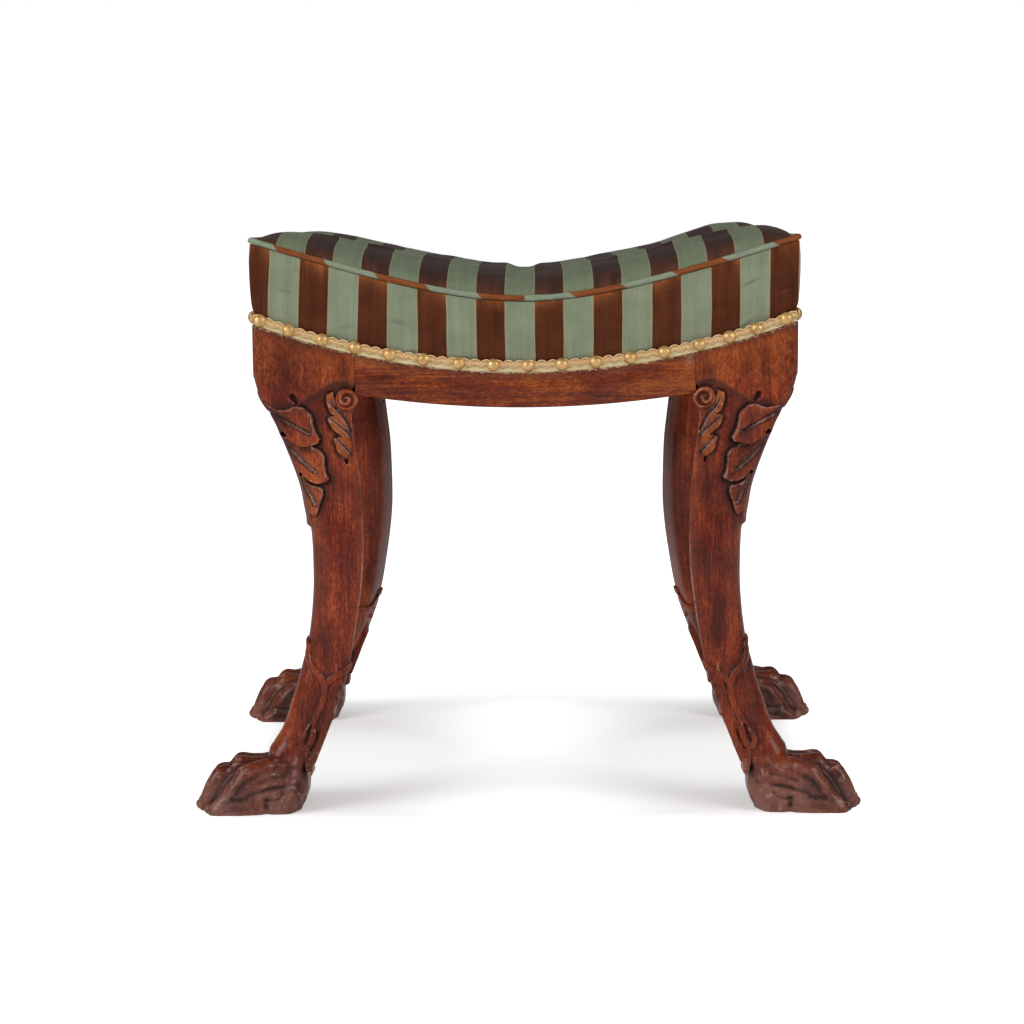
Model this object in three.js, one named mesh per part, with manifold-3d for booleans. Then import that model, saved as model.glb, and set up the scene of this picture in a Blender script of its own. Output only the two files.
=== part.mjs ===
// An early nineteenth century mahogany stool: four sabre legs with carved lion paw feet, tenoned
// to dished seat rails, and a saddle seat on webbing, covered in striped silk with a welt and gimp.
// Millimetres. X runs to the sitter's right, Y to the back and Z up. The origin is on the floor,
// below the middle of the seat.

import * as THREE from "three";
import { mergeVertices } from "three/addons/utils/BufferGeometryUtils.js";
import Module from "manifold-3d";

const wasm = await Module();
wasm.setup();

// Driving dimensions of the frame
const frame_width = 430; // over the square blocks at the tops of the legs
const frame_depth = 420;
const leg_thickness = 50; // of the plank that each leg is sawn from
const block_width = 81; // of the square block where the rails join
const rail_thickness = 30;
const rail_top_height = 368; // top of the front rail at its lowest point
const rail_dish = 39; // how far that top climbs to the outside of the blocks
const rail_depth = 42; // of the front rail at its middle
const rail_under_rise = 11; // how far the underside climbs to the legs
const side_rail_depth = 57; // at its outer face, where it is tallest
const tenon_thickness = 12;
const tenon_length = 28;
const tenon_shoulder = 9; // wood left above and below a tenon
const corner_block_leg = 38; // of the glued triangular blocks inside the frame
const corner_block_height = 30;
const corner_block_drop = 5; // from the rail's top at the block's end down to the block

// Driving dimensions of a leg
const knee_height = 345; // where the square block starts to narrow
const waist_height = 205; // where the leg is furthest in
const ankle_height = 55;
const waist_inset = 25; // the leg's centre line, from the block in to the waist
const ankle_sweep = 34.5; // the centre line, from the waist out to the ankle
const waist_width = 39;
const shin_width = 38;
const arris_drop = 2.5; // how much the front falls away towards the crisp inner arris
const carving_relief = 2.2; // how proud the leaves stand
const ribbon_relief = 1.8;
const ribbon_width = 5.2;
const scroll_radius = 8.6;
const scroll_eye_radius = 3.6;

// Driving dimensions of a paw
const paw_length = 85;
const paw_width = 64;
const paw_height = 49;
const heel_set = 17; // from the back of the ankle out to the back of the heel
const toe_overlap = 1.2; // how far neighbouring toes run into each other

// Driving dimensions of the seat
const clearance = 0.3; // between pieces that touch
const strap_width = 48;
const strap_thickness = 1.8;
const strap_pitch = 52; // of the straps that run front to back
const strap_count = 5;
const cross_strap_pitch = 95;
const cross_strap_count = 3;
const strap_end_margin = 3; // of a strap's end, in from the edge of the rail
const hessian_thickness = 1;
const cloth_thickness = 1.2; // silk with its lining and wadding
const welt_diameter = 4.7;
const welt_above_rail = 44; // centre of the welt over the rail's top, at the middle of the front
const welt_rise = 46.5; // from there to the corners
const welt_bend = 100; // half length of the curved middle, before it runs nearly straight
const welt_set = 0.5; // centre of the welt, in from the face of the frame
const welt_corner_radius = 3;
const crown_height = 23; // of the seat over its welt
const valley_depth = 7; // of the worn hollow between the front and back rolls
const valley_length = 65;
const boxing_inset = 2.8; // bottom of the boxing, in from the face of the frame
const boxing_bulge = 3.6; // how far it swells out from there below the welt
const gimp_width = 9.6;
const gimp_thickness = 1.4;
const gimp_below_rail_top = 14; // from the rail's top down to the gimp's lower edge
const nail_diameter = 9.6;
const nail_height = 2.6;
const nail_pitch = 26;
const nail_margin = 8.5; // of the last nail, in from the corner
const cutting_overrun = 2;

// Sizes worked out from those
const half_width = frame_width / 2;
const half_depth = frame_depth / 2;
const block_inner = half_width - block_width;
const block_centre = half_width - block_width / 2;
const leg_centre_y = half_depth - leg_thickness / 2;
const rail_inner_y = half_depth - rail_thickness;
const side_rail_inner = half_width - rail_thickness;
const leg_back_y = half_depth - leg_thickness;
const waist_centre = block_centre - waist_inset;
const ankle_centre = waist_centre + ankle_sweep;
const heel_back = ankle_centre - shin_width / 2 + heel_set;
const tacking_rebate = boxing_inset + cloth_thickness + clearance;
const welt_radius = welt_diameter / 2;

// Materials
const material = (color, roughness, metalness = 0) =>
  new THREE.MeshStandardMaterial({ color, roughness, metalness });
const mahogany = material("#7a3419", 0.35);
const dark_mahogany = material("#6a2a18", 0.35);
const beech = material("#b98c5a", 0.7);
const jute = material("#a98a5c", 0.9);
const hessian = material("#8f7750", 0.95);
const horsehair = material("#d8cbb0", 0.95);
const striped_silk = material("#6b8a78", 0.5);
const welt_silk = material("#9e5b34", 0.5);
const gimp_braid = material("#cdb078", 0.8);

// Closed surfaces. Faces are turned to point out when a surface comes out inside out.
function signedVolume(points, index) {
  let sum = 0;
  for (let i = 0; i < index.length; i += 3) {
    const [a, b, c] = [points[index[i]], points[index[i + 1]], points[index[i + 2]]];
    sum += a.dot(new THREE.Vector3().crossVectors(b, c));
  }
  return sum;
}

function closedSurface(points, index) {
  const facing_out = signedVolume(points, index) > 0 ? index : index.slice().reverse();
  const geometry = new THREE.BufferGeometry().setFromPoints(points);
  geometry.setIndex(facing_out);
  return geometry;
}

// A skin between an outer and an inner surface, each given over the same grid of stations.
function sheet(us, vs, outer, inner) {
  const points = [outer, inner].flatMap((face) => vs.flatMap((v) => us.map((u) => face(u, v))));
  const [wide, high] = [us.length, vs.length];
  const at = (side, i, j) => side * wide * high + j * wide + i;
  const index = [];
  const quad = (a, b, c, d) => index.push(a, b, c, a, c, d);
  for (let j = 0; j < high - 1; j++) {
    for (let i = 0; i < wide - 1; i++) {
      quad(at(0, i, j), at(0, i + 1, j), at(0, i + 1, j + 1), at(0, i, j + 1));
      quad(at(1, i, j), at(1, i, j + 1), at(1, i + 1, j + 1), at(1, i + 1, j));
    }
  }
  for (let i = 0; i < wide - 1; i++) {
    quad(at(1, i, 0), at(1, i + 1, 0), at(0, i + 1, 0), at(0, i, 0));
    quad(at(0, i, high - 1), at(0, i + 1, high - 1), at(1, i + 1, high - 1), at(1, i, high - 1));
  }
  for (let j = 0; j < high - 1; j++) {
    quad(at(0, 0, j), at(0, 0, j + 1), at(1, 0, j + 1), at(1, 0, j));
    quad(at(1, wide - 1, j), at(1, wide - 1, j + 1), at(0, wide - 1, j + 1), at(0, wide - 1, j));
  }
  return closedSurface(points, index);
}

// A body through rings of points, closed at both ends, or joined end to end as a loop.
function loft(rings, looped = false) {
  const count = rings[0].length;
  const points = rings.flat();
  const index = [];
  const spans = looped ? rings.length : rings.length - 1;
  for (let j = 0; j < spans; j++) {
    const [low, high] = [j * count, ((j + 1) % rings.length) * count];
    for (let i = 0; i < count; i++) {
      const next = (i + 1) % count;
      index.push(low + i, low + next, high + next, low + i, high + next, high + i);
    }
  }
  if (!looped) {
    const caps = [[rings[0], 0, true], [rings.at(-1), points.length - count, false]];
    for (const [ring, offset, turned] of caps) {
      const middle = new THREE.Vector3();
      ring.forEach((point) => middle.add(point));
      const hub = points.push(middle.divideScalar(count)) - 1;
      for (let i = 0; i < count; i++) {
        const [a, b] = [offset + i, offset + ((i + 1) % count)];
        index.push(hub, turned ? b : a, turned ? a : b);
      }
    }
  }
  return closedSurface(points, index);
}

// A plate whose outline lies in X and Z, from one Y to another.
function plate(outline, y_from, y_to) {
  const shape = new THREE.Shape(outline.map(([x, z]) => new THREE.Vector2(x, z)));
  const geometry = new THREE.ExtrudeGeometry(shape, { depth: y_to - y_from, bevelEnabled: false });
  return geometry.rotateX(Math.PI / 2).translate(0, y_to, 0);
}

function box([x0, x1], [y0, y1], [z0, z1]) {
  const geometry = new THREE.BoxGeometry(x1 - x0, y1 - y0, z1 - z0);
  return geometry.translate((x0 + x1) / 2, (y0 + y1) / 2, (z0 + z1) / 2);
}

// Between a geometry and a solid that can be joined and cut
const merge_distance = 0.0001;
function solid(geometry) {
  const bare = geometry.clone();
  for (const name of ["normal", "uv"]) bare.deleteAttribute(name);
  const merged = mergeVertices(bare, merge_distance);
  const vertProperties = merged.attributes.position.array;
  const triVerts = new Uint32Array(merged.index.array);
  return new wasm.Manifold(new wasm.Mesh({ numProp: 3, vertProperties, triVerts }));
}

function geometryOf(body) {
  const mesh = body.getMesh();
  const geometry = new THREE.BufferGeometry();
  geometry.setAttribute("position", new THREE.BufferAttribute(mesh.vertProperties, 3));
  geometry.setIndex(new THREE.BufferAttribute(mesh.triVerts, 1));
  return geometry;
}

const joined = (bodies) => bodies.reduce((whole, body) => whole.add(body));
const cut = (body, ...cutters) => cutters.reduce((left, cutter) => left.subtract(solid(cutter)), body);

// Numbers along a line, places about a middle, and a smooth curve through a table of pairs
function steps(from, to, count) {
  return Array.from({ length: count + 1 }, (_, i) => from + ((to - from) * i) / count);
}

function evenPlaces(count, pitch) {
  return Array.from({ length: count }, (_, i) => (i - (count - 1) / 2) * pitch);
}

const blend = (a, b, share) => a + (b - a) * share;

function smooth(table, x) {
  const last = table.length - 2;
  const passed = table.filter(([limit]) => limit <= x).length;
  const i = Math.min(last, Math.max(0, passed - 1));
  const slope = (k) => {
    const [low, high] = [table[Math.max(0, k - 1)], table[Math.min(last + 1, k + 1)]];
    return (high[1] - low[1]) / (high[0] - low[0]);
  };
  const [[x0, y0], [x1, y1]] = [table[i], table[i + 1]];
  const [run, t] = [x1 - x0, Math.min(1, Math.max(0, (x - x0) / (x1 - x0)))];
  const [t2, t3] = [t * t, t * t * t];
  return (
    (2 * t3 - 3 * t2 + 1) * y0 + (t3 - 2 * t2 + t) * run * slope(i) +
    (3 * t2 - 2 * t3) * y1 + (t3 - t2) * run * slope(i + 1)
  );
}

// The lines that the frame and the seat follow across the stool
function arcRise(x, half_chord, rise) {
  const radius = (half_chord ** 2 + rise ** 2) / (2 * rise);
  return radius - Math.sqrt(radius ** 2 - x ** 2);
}
const railTop = (x) => rail_top_height + arcRise(x, half_width, rail_dish);
const railUnder = (x) => rail_top_height - rail_depth + arcRise(x, block_inner, rail_under_rise);
const gimpUnder = (x) => railTop(x) - gimp_below_rail_top;
const side_rail_under = railTop(half_width) - side_rail_depth;
function weltLine(x) {
  const bend = (at) => Math.hypot(at, welt_bend) - welt_bend;
  return rail_top_height + welt_above_rail + (welt_rise * bend(x)) / bend(half_width);
}

// Section of a leg, level with the floor: a crisp arris down the inner side, the rest rounded.
// squareness is the power of the rounded part: 2 is an ellipse and 12 is nearly a rectangle.
const round_angle_shares = [0.8, 0.6, 0.4, 0.2];
const flat_share = 0.35; // of the width, before the front turns round to the outside
const halfway_drop_share = 0.25; // of the drop at the arris, half way across the flat
function legRing(height, inner, outer, half_thickness, squareness, drop) {
  const middle = blend(inner, outer, flat_share);
  const reach = outer - middle;
  const power = 2 / squareness;
  const round = round_angle_shares.map((share) => {
    const angle = (share * Math.PI) / 2;
    return [middle + reach * Math.cos(angle) ** power, half_thickness * Math.sin(angle) ** power];
  });
  const half = [
    [inner, half_thickness - drop],
    [(inner + middle) / 2, half_thickness - halfway_drop_share * drop],
    [middle, half_thickness],
    ...round,
  ];
  const front = half.map(([x, y]) => new THREE.Vector3(x, -y, height));
  const back = half.map(([x, y]) => new THREE.Vector3(x, y, height)).reverse();
  return [...front, new THREE.Vector3(outer, 0, height), ...back];
}

// Where the leg's centre line and edges are at a height
const haunch_power = 1.9;
const shin_power = 2.1;
const haunch_width_shares = [
  [0, 0], [0.2, 0.1], [0.39, 0.22], [0.66, 0.42], [0.84, 0.66], [0.92, 0.81], [1, 1],
];
const shin_taper_share = 0.5; // of the shin's length, from the waist's width to the shin's
function legEdges(height) {
  if (height >= waist_height) {
    const up = Math.min(1, (height - waist_height) / (knee_height - waist_height));
    const centre = waist_centre + waist_inset * up ** haunch_power;
    const width = blend(waist_width, block_width, smooth(haunch_width_shares, up));
    return { inner: centre - width / 2, outer: centre + width / 2 };
  }
  const down = (waist_height - height) / (waist_height - ankle_height);
  const centre = waist_centre + ankle_sweep * down ** shin_power;
  const width = blend(waist_width, shin_width, Math.min(1, down / shin_taper_share));
  return { inner: centre - width / 2, outer: centre + width / 2 };
}

// The leg's stations, from the knee to the sole. The squareness falls from the block to the waist.
const haunch_station_shares = [1, 0.92, 0.82, 0.7, 0.57, 0.43, 0.29, 0.14];
const shin_station_shares = [0, 0.17, 0.34, 0.48, 0.61, 0.73, 0.83, 0.92];
const squareness_shares = [[0, 2.7], [0.35, 3.2], [0.7, 5], [1, 12]];
const shin_slimness_shares = [[0, 1], [0.6, 0.96], [1, 0.92]];
// Height as a share of the ankle's, back and front as shares of the paw's length from its heel,
// and half thickness as a share of the paw's width
const heel_shares = [
  [1, -0.2, 0.26, 0.36],
  [0.8, -0.15, 0.32, 0.38],
  [0.55, -0.08, 0.36, 0.4],
  [0.3, -0.02, 0.36, 0.4],
  [0.1, 0.01, 0.34, 0.38],
  [-0.05, 0.05, 0.32, 0.34],
];
const heel_squareness = 3;

function legCore(grown = 0) {
  const rings = haunch_station_shares.map((up) => {
    const height = blend(waist_height, knee_height, up);
    const { inner, outer } = legEdges(height);
    const squareness = smooth(squareness_shares, up);
    return legRing(height, inner - grown, outer + grown, leg_thickness / 2 + grown, squareness, arris_drop);
  });
  for (const down of shin_station_shares) {
    const height = blend(waist_height, ankle_height, down);
    const { inner, outer } = legEdges(height);
    const half_thickness = (leg_thickness / 2) * smooth(shin_slimness_shares, down) + grown;
    const squareness = squareness_shares[0][1];
    rings.push(legRing(height, inner - grown, outer + grown, half_thickness, squareness, arris_drop));
  }
  for (const [up, back, front, side] of heel_shares) {
    const inner = heel_back + back * paw_length - grown;
    const outer = heel_back + front * paw_length + grown;
    const half_thickness = side * paw_width + grown;
    rings.push(legRing(up * ankle_height, inner, outer, half_thickness, heel_squareness, arris_drop));
  }
  return solid(loft(rings));
}

// Toes and the pad that they grow from are lofted outwards, in upright sections with round tops.
// Each row is the place along the paw, the height of the top and the half width, as shares of the
// paw's length, its height and the toe's own half width.
const inner_toe_shares = [
  [0.2, 0.8, 0.8], [0.44, 0.98, 0.98], [0.63, 0.98, 1.02], [0.7, 0.88, 0.98], [0.76, 0.75, 0.96],
  [0.86, 0.72, 1], [0.93, 0.56, 0.92], [0.98, 0.32, 0.74], [1.01, 0.1, 0.5],
];
const outer_toe_shares = [
  [0.08, 0.56, 0.6], [0.34, 0.7, 0.95], [0.57, 0.79, 1.02], [0.67, 0.72, 1], [0.74, 0.58, 0.96],
  [0.82, 0.5, 0.95], [0.88, 0.3, 0.78], [0.91, 0.1, 0.52],
];
const pad_shares = [
  [0, 0.5, 0.7], [0.1, 0.72, 0.88], [0.3, 0.76, 0.96], [0.5, 0.72, 1], [0.65, 0.56, 1], [0.78, 0.34, 0.94],
];
const toe_round_shares = [0.2, 0.5, 0.8]; // of the half turn over a toe
const toe_dome_share = 0.7; // of a toe's height, the most that its round top takes
const sole_tuck_share = 0.86; // of a toe's half width, down at the sole

function toeRing(x, y, top, half) {
  const rise = Math.min(half, toe_dome_share * top);
  const over = toe_round_shares.map((share) => {
    const angle = share * Math.PI;
    return [half * Math.cos(angle), top - rise + rise * Math.sin(angle)];
  });
  const outline = [
    [half * sole_tuck_share, -cutting_overrun],
    [half, top - rise],
    ...over,
    [-half, top - rise],
    [-half * sole_tuck_share, -cutting_overrun],
  ];
  return outline.map(([across, height]) => new THREE.Vector3(x, y + across, height));
}

const toe_count = 4;
const toe_spread_shares = [0.8, 1]; // how far apart the toes are at the heel end and at the tips
function toe(number) {
  const across = (number - (toe_count - 1) / 2) / toe_count;
  const rows = Math.abs(across) > 1 / toe_count ? outer_toe_shares : inner_toe_shares;
  const half = (paw_width / toe_count + toe_overlap) / 2;
  const rings = rows.map(([along, top, wide]) => {
    const y = across * paw_width * blend(...toe_spread_shares, along);
    return toeRing(heel_back + along * paw_length, y, top * paw_height, half * wide);
  });
  return solid(loft(rings));
}

const pad_width_share = 0.875; // of the paw's width
function pawPad() {
  const half = (pad_width_share * paw_width) / 2;
  const rings = pad_shares.map(([along, top, wide]) => {
    return toeRing(heel_back + along * paw_length, 0, top * paw_height, half * wide);
  });
  return solid(loft(rings));
}

// Carving in relief: an outline drawn on the leg, kept where it is proud of the leg by the relief.
// Points are the share across the leg at that height and the share of the way from waist to knee.
const spray_shares = [
  [1.2, 0.99], [0.93, 0.93], [0.87, 0.89], [0.78, 0.87], [0.68, 0.88], [0.6, 0.87], [0.55, 0.83],
  [0.56, 0.77], [0.53, 0.71], [0.54, 0.67], [0.65, 0.65], [0.58, 0.63], [0.52, 0.6], [0.54, 0.53],
  [0.51, 0.48], [0.56, 0.44], [0.72, 0.44], [0.7, 0.42], [0.65, 0.4], [0.67, 0.34], [0.75, 0.27],
  [0.82, 0.24], [0.87, 0.24], [0.9, 0.17], [1.2, 0.17],
];
const small_leaf_shares = [
  [0.27, 0.95], [0.28, 0.88], [0.26, 0.84], [0.34, 0.81], [0.29, 0.76], [0.27, 0.73], [0.35, 0.69],
  [0.32, 0.64], [0.3, 0.6], [0.24, 0.55], [0.17, 0.59], [0.1, 0.68], [0.12, 0.76], [0.16, 0.85],
  [0.17, 0.95],
];
const scroll_place_shares = [0.08, 0.91];
const scroll_sides = 14;
const scroll_eye_sides = 8;

function onHaunch([across, up]) {
  const height = blend(waist_height, knee_height, up);
  const { inner, outer } = legEdges(height);
  return [blend(inner, outer, across), height];
}

function relief(outlines, grown_core, front_only = true) {
  const reach = leg_thickness;
  const prisms = outlines.map((outline) => solid(plate(outline, -reach, front_only ? 0 : reach)));
  return joined(prisms).intersect(grown_core);
}

function disc([x, z], radius, sides) {
  return steps(0, 1, sides).slice(1).map((turn) => {
    const angle = 2 * Math.PI * turn;
    return [x + radius * Math.cos(angle), z + radius * Math.sin(angle)];
  });
}

// The collar over the paw: a ribbon that comes down from a peak outside, loops at the ankle, and
// has an arm up to the inner arris. Points are shares of the leg's width and of the shin's length.
const ribbon_shares = [
  [1.04, 0.46], [0.97, 0.52], [0.8, 0.57], [0.63, 0.62], [0.52, 0.67], [0.48, 0.73], [0.5, 0.8],
  [0.57, 0.87], [0.62, 0.93], [0.58, 0.99], [0.43, 1.01], [0.3, 0.98], [0.3, 0.92], [0.38, 0.85],
];
const ribbon_arm_shares = [[0.52, 0.67], [0.34, 0.62], [0.16, 0.57], [-0.08, 0.52]];

function onShin([across, down]) {
  const height = blend(waist_height, ankle_height, down);
  const { inner, outer } = legEdges(height);
  return [blend(inner, outer, across), height];
}

function ribbonOutlines(places) {
  const curve = new THREE.SplineCurve(places.map(onShin).map(([x, z]) => new THREE.Vector2(x, z)));
  const count = places.length;
  const edge = (side) => steps(0, 1, count).map((t) => {
    const [point, along] = [curve.getPoint(t), curve.getTangent(t)];
    return [point.x - (side * along.y * ribbon_width) / 2, point.y + (side * along.x * ribbon_width) / 2];
  });
  const [left, right] = [edge(1), edge(-1)];
  // short stretches, each a simple outline, so that the loop may pass its own start
  return steps(0, count - 1, count - 1).map((i) => [left[i], left[i + 1], right[i + 1], right[i]]);
}

// A whole leg, in its own frame: X and Z as in the stool, Y from the middle of its plank, and the
// carved face towards -Y. Its mortises take the tenons of the two rails.
const mortise = ([from, to]) => [from - clearance, to + clearance];
const tenon_inset = (rail_thickness - tenon_thickness) / 2;
const plank_face = -leg_thickness / 2;
const rail_tenon = {
  x: [block_inner, block_inner + tenon_length],
  y: [plank_face + tenon_inset, plank_face + tenon_inset + tenon_thickness],
  z: [railUnder(block_inner) + tenon_shoulder, railTop(block_inner) - tenon_shoulder],
};
const side_tenon = {
  x: [half_width - tenon_inset - tenon_thickness, half_width - tenon_inset],
  y: [leg_thickness / 2 - tenon_length, leg_thickness / 2],
  z: [side_rail_under + tenon_shoulder, railTop(side_rail_inner) - tenon_shoulder],
};

const arc_steps = 18;
const block_arc_steps = 6;
function aboveLine(line, x_from, x_to, count = arc_steps) {
  const ceiling = railTop(half_width) + leg_thickness;
  const edge = steps(x_from, x_to, count).map((x) => [x, line(Math.min(half_width, Math.abs(x)))]);
  return [...edge, [x_to, ceiling], [x_from, ceiling]];
}

function leg() {
  const core = legCore();
  const block_top = railTop(half_width) + cutting_overrun;
  const block = box([block_inner, half_width], [plank_face, -plank_face], [knee_height, block_top]);
  const toes = Array.from({ length: toe_count }, (_, number) => toe(number));
  const scroll = onHaunch(scroll_place_shares);
  const leaves = [
    spray_shares.map(onHaunch),
    small_leaf_shares.map(onHaunch),
    disc(scroll, scroll_radius, scroll_sides),
  ];
  const eye = disc(scroll, scroll_eye_radius, scroll_eye_sides);
  const ribbons = [ribbon_shares, ribbon_arm_shares].flatMap(ribbonOutlines);
  const carving = [
    relief(leaves, legCore(carving_relief)),
    relief([eye], legCore(2 * carving_relief)),
    relief(ribbons, legCore(ribbon_relief), false),
  ];
  const whole = joined([core, solid(block), pawPad(), ...toes, ...carving]);

  const reach = paw_length + half_width + leg_thickness;
  const past_y = [-leg_thickness, leg_thickness];
  const past_block = [block_inner - cutting_overrun, half_width + cutting_overrun];
  const rebate_line = (x) => gimpUnder(x) - clearance;
  const past_top = [rebate_line(half_width), block_top + cutting_overrun];
  const rail_mortise_x = [past_block[0], rail_tenon.x[1] + clearance];
  const side_mortise_y = [side_tenon.y[0] - clearance, side_tenon.y[1] + cutting_overrun];
  return cut(
    whole,
    box([0, reach], [-paw_width, paw_width], [-paw_height, 0]),
    box([0, block_inner], past_y, [railUnder(block_inner) - clearance, knee_height]),
    plate(aboveLine(railTop, ...past_block, block_arc_steps), ...past_y),
    plate(aboveLine(rebate_line, ...past_block, block_arc_steps), past_y[0], plank_face + tacking_rebate),
    box([half_width - tacking_rebate, reach], past_y, past_top),
    box(rail_mortise_x, mortise(rail_tenon.y), mortise(rail_tenon.z)),
    box(mortise(side_tenon.x), side_mortise_y, mortise(side_tenon.z)),
  );
}

// The front rail in its place, with a tenon at each end and the rebate that the cover is tacked in
function frontRail() {
  const end = block_inner - clearance;
  const under = steps(-end, end, arc_steps).map((x) => [x, railUnder(x)]);
  const over = steps(end, -end, arc_steps).map((x) => [x, railTop(x)]);
  const body = solid(plate([...under, ...over], -half_depth, -rail_inner_y));
  const tenons = [1, -1].map((side) => {
    const reach = [side * (end - cutting_overrun), side * rail_tenon.x[1]].sort((a, b) => a - b);
    return solid(box(reach, rail_tenon.y.map((y) => y - leg_centre_y), rail_tenon.z));
  });
  const past_end = end + cutting_overrun;
  const rebate = aboveLine((x) => gimpUnder(x) - clearance, -past_end, past_end);
  const cutter = plate(rebate, -half_depth - cutting_overrun, -half_depth + tacking_rebate);
  return cut(body, cutter).add(tenons[0]).add(tenons[1]);
}

// The right side rail, level along its length, with its top sloped to the same dish
const side_rail_top_steps = 2;
function sideRail() {
  const end = leg_back_y - clearance;
  const shoulder = gimpUnder(half_width) - clearance;
  const face = half_width - tacking_rebate;
  const top = steps(face, side_rail_inner, side_rail_top_steps).map((x) => [x, railTop(x)]);
  const outline = [
    [side_rail_inner, side_rail_under],
    [half_width, side_rail_under],
    [half_width, shoulder],
    [face, shoulder],
    ...top,
  ];
  const tenon_reach = leg_centre_y - side_tenon.y[0];
  const tongue = solid(box(side_tenon.x, [-tenon_reach, tenon_reach], side_tenon.z));
  return solid(plate(outline, -end, end)).add(tongue);
}

// A glued block in the right front corner, between the back of the leg and the side rail
function cornerBlock() {
  const [x, y] = [side_rail_inner - clearance, -leg_back_y + clearance];
  const shape = new THREE.Shape([
    new THREE.Vector2(x, y),
    new THREE.Vector2(x, y + corner_block_leg),
    new THREE.Vector2(x - corner_block_leg, y),
  ]);
  const geometry = new THREE.ExtrudeGeometry(shape, { depth: corner_block_height, bevelEnabled: false });
  const top = railTop(x - corner_block_leg) - corner_block_drop;
  return geometry.translate(0, 0, top - corner_block_height);
}

// Webbing. The straps from front to back lie on the dished rails; the others are woven through.
const strap_base = clearance;
const strap_top = strap_base + strap_thickness;
const strap_places = evenPlaces(strap_count, strap_pitch);
const cross_places = evenPlaces(cross_strap_count, cross_strap_pitch);
const tacked_x = half_width - tacking_rebate - strap_end_margin;
const tacked_y = half_depth - tacking_rebate - strap_end_margin;
const strap_bend_steps = 3; // across a strap, over the dish
const hessian_bend_steps = 14;

function strapAlong(place) {
  const across = steps(place - strap_width / 2, place + strap_width / 2, strap_bend_steps);
  const level = (rise) => (x, y) => new THREE.Vector3(x, y, railTop(x) + rise);
  return sheet(across, [-tacked_y, tacked_y], level(strap_top), level(strap_base));
}

function strapAcross(number) {
  const over = strap_top + clearance;
  const under = strap_base - clearance - strap_thickness;
  const stations = [[-tacked_x, strap_base], [-side_rail_inner, strap_base]];
  strap_places.forEach((place, i) => {
    const level = (i + number) % 2 ? over : under;
    for (const side of [-1, 0, 1]) stations.push([place + (side * strap_width) / 2, level]);
  });
  stations.push([side_rail_inner, strap_base], [tacked_x, strap_base]);
  const place = cross_places[number];
  const level = (rise) => (i, y) => {
    const [x, lift] = stations[i];
    return new THREE.Vector3(x, y, railTop(x) + lift + rise);
  };
  const edges = [place - strap_width / 2, place + strap_width / 2];
  return sheet([...stations.keys()], edges, level(strap_thickness), level(0));
}

// Hessian over the webbing
const hessian_base = strap_top + clearance + strap_thickness + clearance;
function hessianSheet() {
  const across = steps(-tacked_x, tacked_x, hessian_bend_steps);
  const level = (rise) => (x, y) => new THREE.Vector3(x, y, railTop(x) + hessian_base + rise);
  return sheet(across, [-tacked_y, tacked_y], level(hessian_thickness), level(0));
}

// The seat's upper surface over a plan whose half sizes are given. across and along run from -1
// to 1. The crown rises steeply from the welt, and a shallow valley lies between the two rolls.
const crown_power = 4;
const valley_start_share = 0.35;
const valley_full_share = 0.75;
function seatTop(across, along, half_x, half_y) {
  const [x, y] = [across * half_x, along * half_y];
  const rise = (share) => Math.sqrt(1 - Math.abs(share) ** crown_power);
  const shoulder = THREE.MathUtils.smoothstep(Math.abs(across), valley_start_share, valley_full_share);
  const valley = valley_depth * shoulder * Math.exp(-((y / valley_length) ** 2));
  return weltLine(x) + (crown_height - valley) * rise(across) * rise(along);
}

const across_shares = [0, 0.18, 0.35, 0.5, 0.64, 0.76, 0.86, 0.93, 0.98, 1];
const along_shares = [0, 0.2, 0.4, 0.59, 0.76, 0.89, 0.97, 1];
const mirrored = (shares) => [...shares.slice(1).reverse().map((share) => -share), ...shares];

const welt_x = half_width - welt_set;
const welt_y = half_depth - welt_set;
const cover_half_x = welt_x - welt_radius - clearance;
const cover_half_y = welt_y - welt_radius - clearance;
function topCover() {
  const face = (rise) => (across, along) => {
    const z = seatTop(across, along, cover_half_x, cover_half_y) + rise;
    return new THREE.Vector3(across * cover_half_x, along * cover_half_y, z);
  };
  return sheet(mirrored(across_shares), mirrored(along_shares), face(0), face(-cloth_thickness));
}

// How far the boxing stands out from the frame's face, up its height, and the same for its lining
const boxing_shape_shares = [[0, 0], [0.16, 0], [0.45, 0.45], [0.8, 1], [1, 0.72]];
const boxingFace = (up) => boxing_bulge * smooth(boxing_shape_shares, up) - boxing_inset;
const boxing_foot_share = 0.25; // of the gimp's width, up to the boxing's raw edge behind it
const boxingFoot = (x) => gimpUnder(x) + boxing_foot_share * gimp_width;
const welt_slope_share = 1.1; // half the welt's height where it climbs, as a share of its radius
const boxingHead = (x) => weltLine(x) - welt_slope_share * welt_radius - clearance;
const boxing_rows = boxing_shape_shares.map(([up]) => up);

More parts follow.
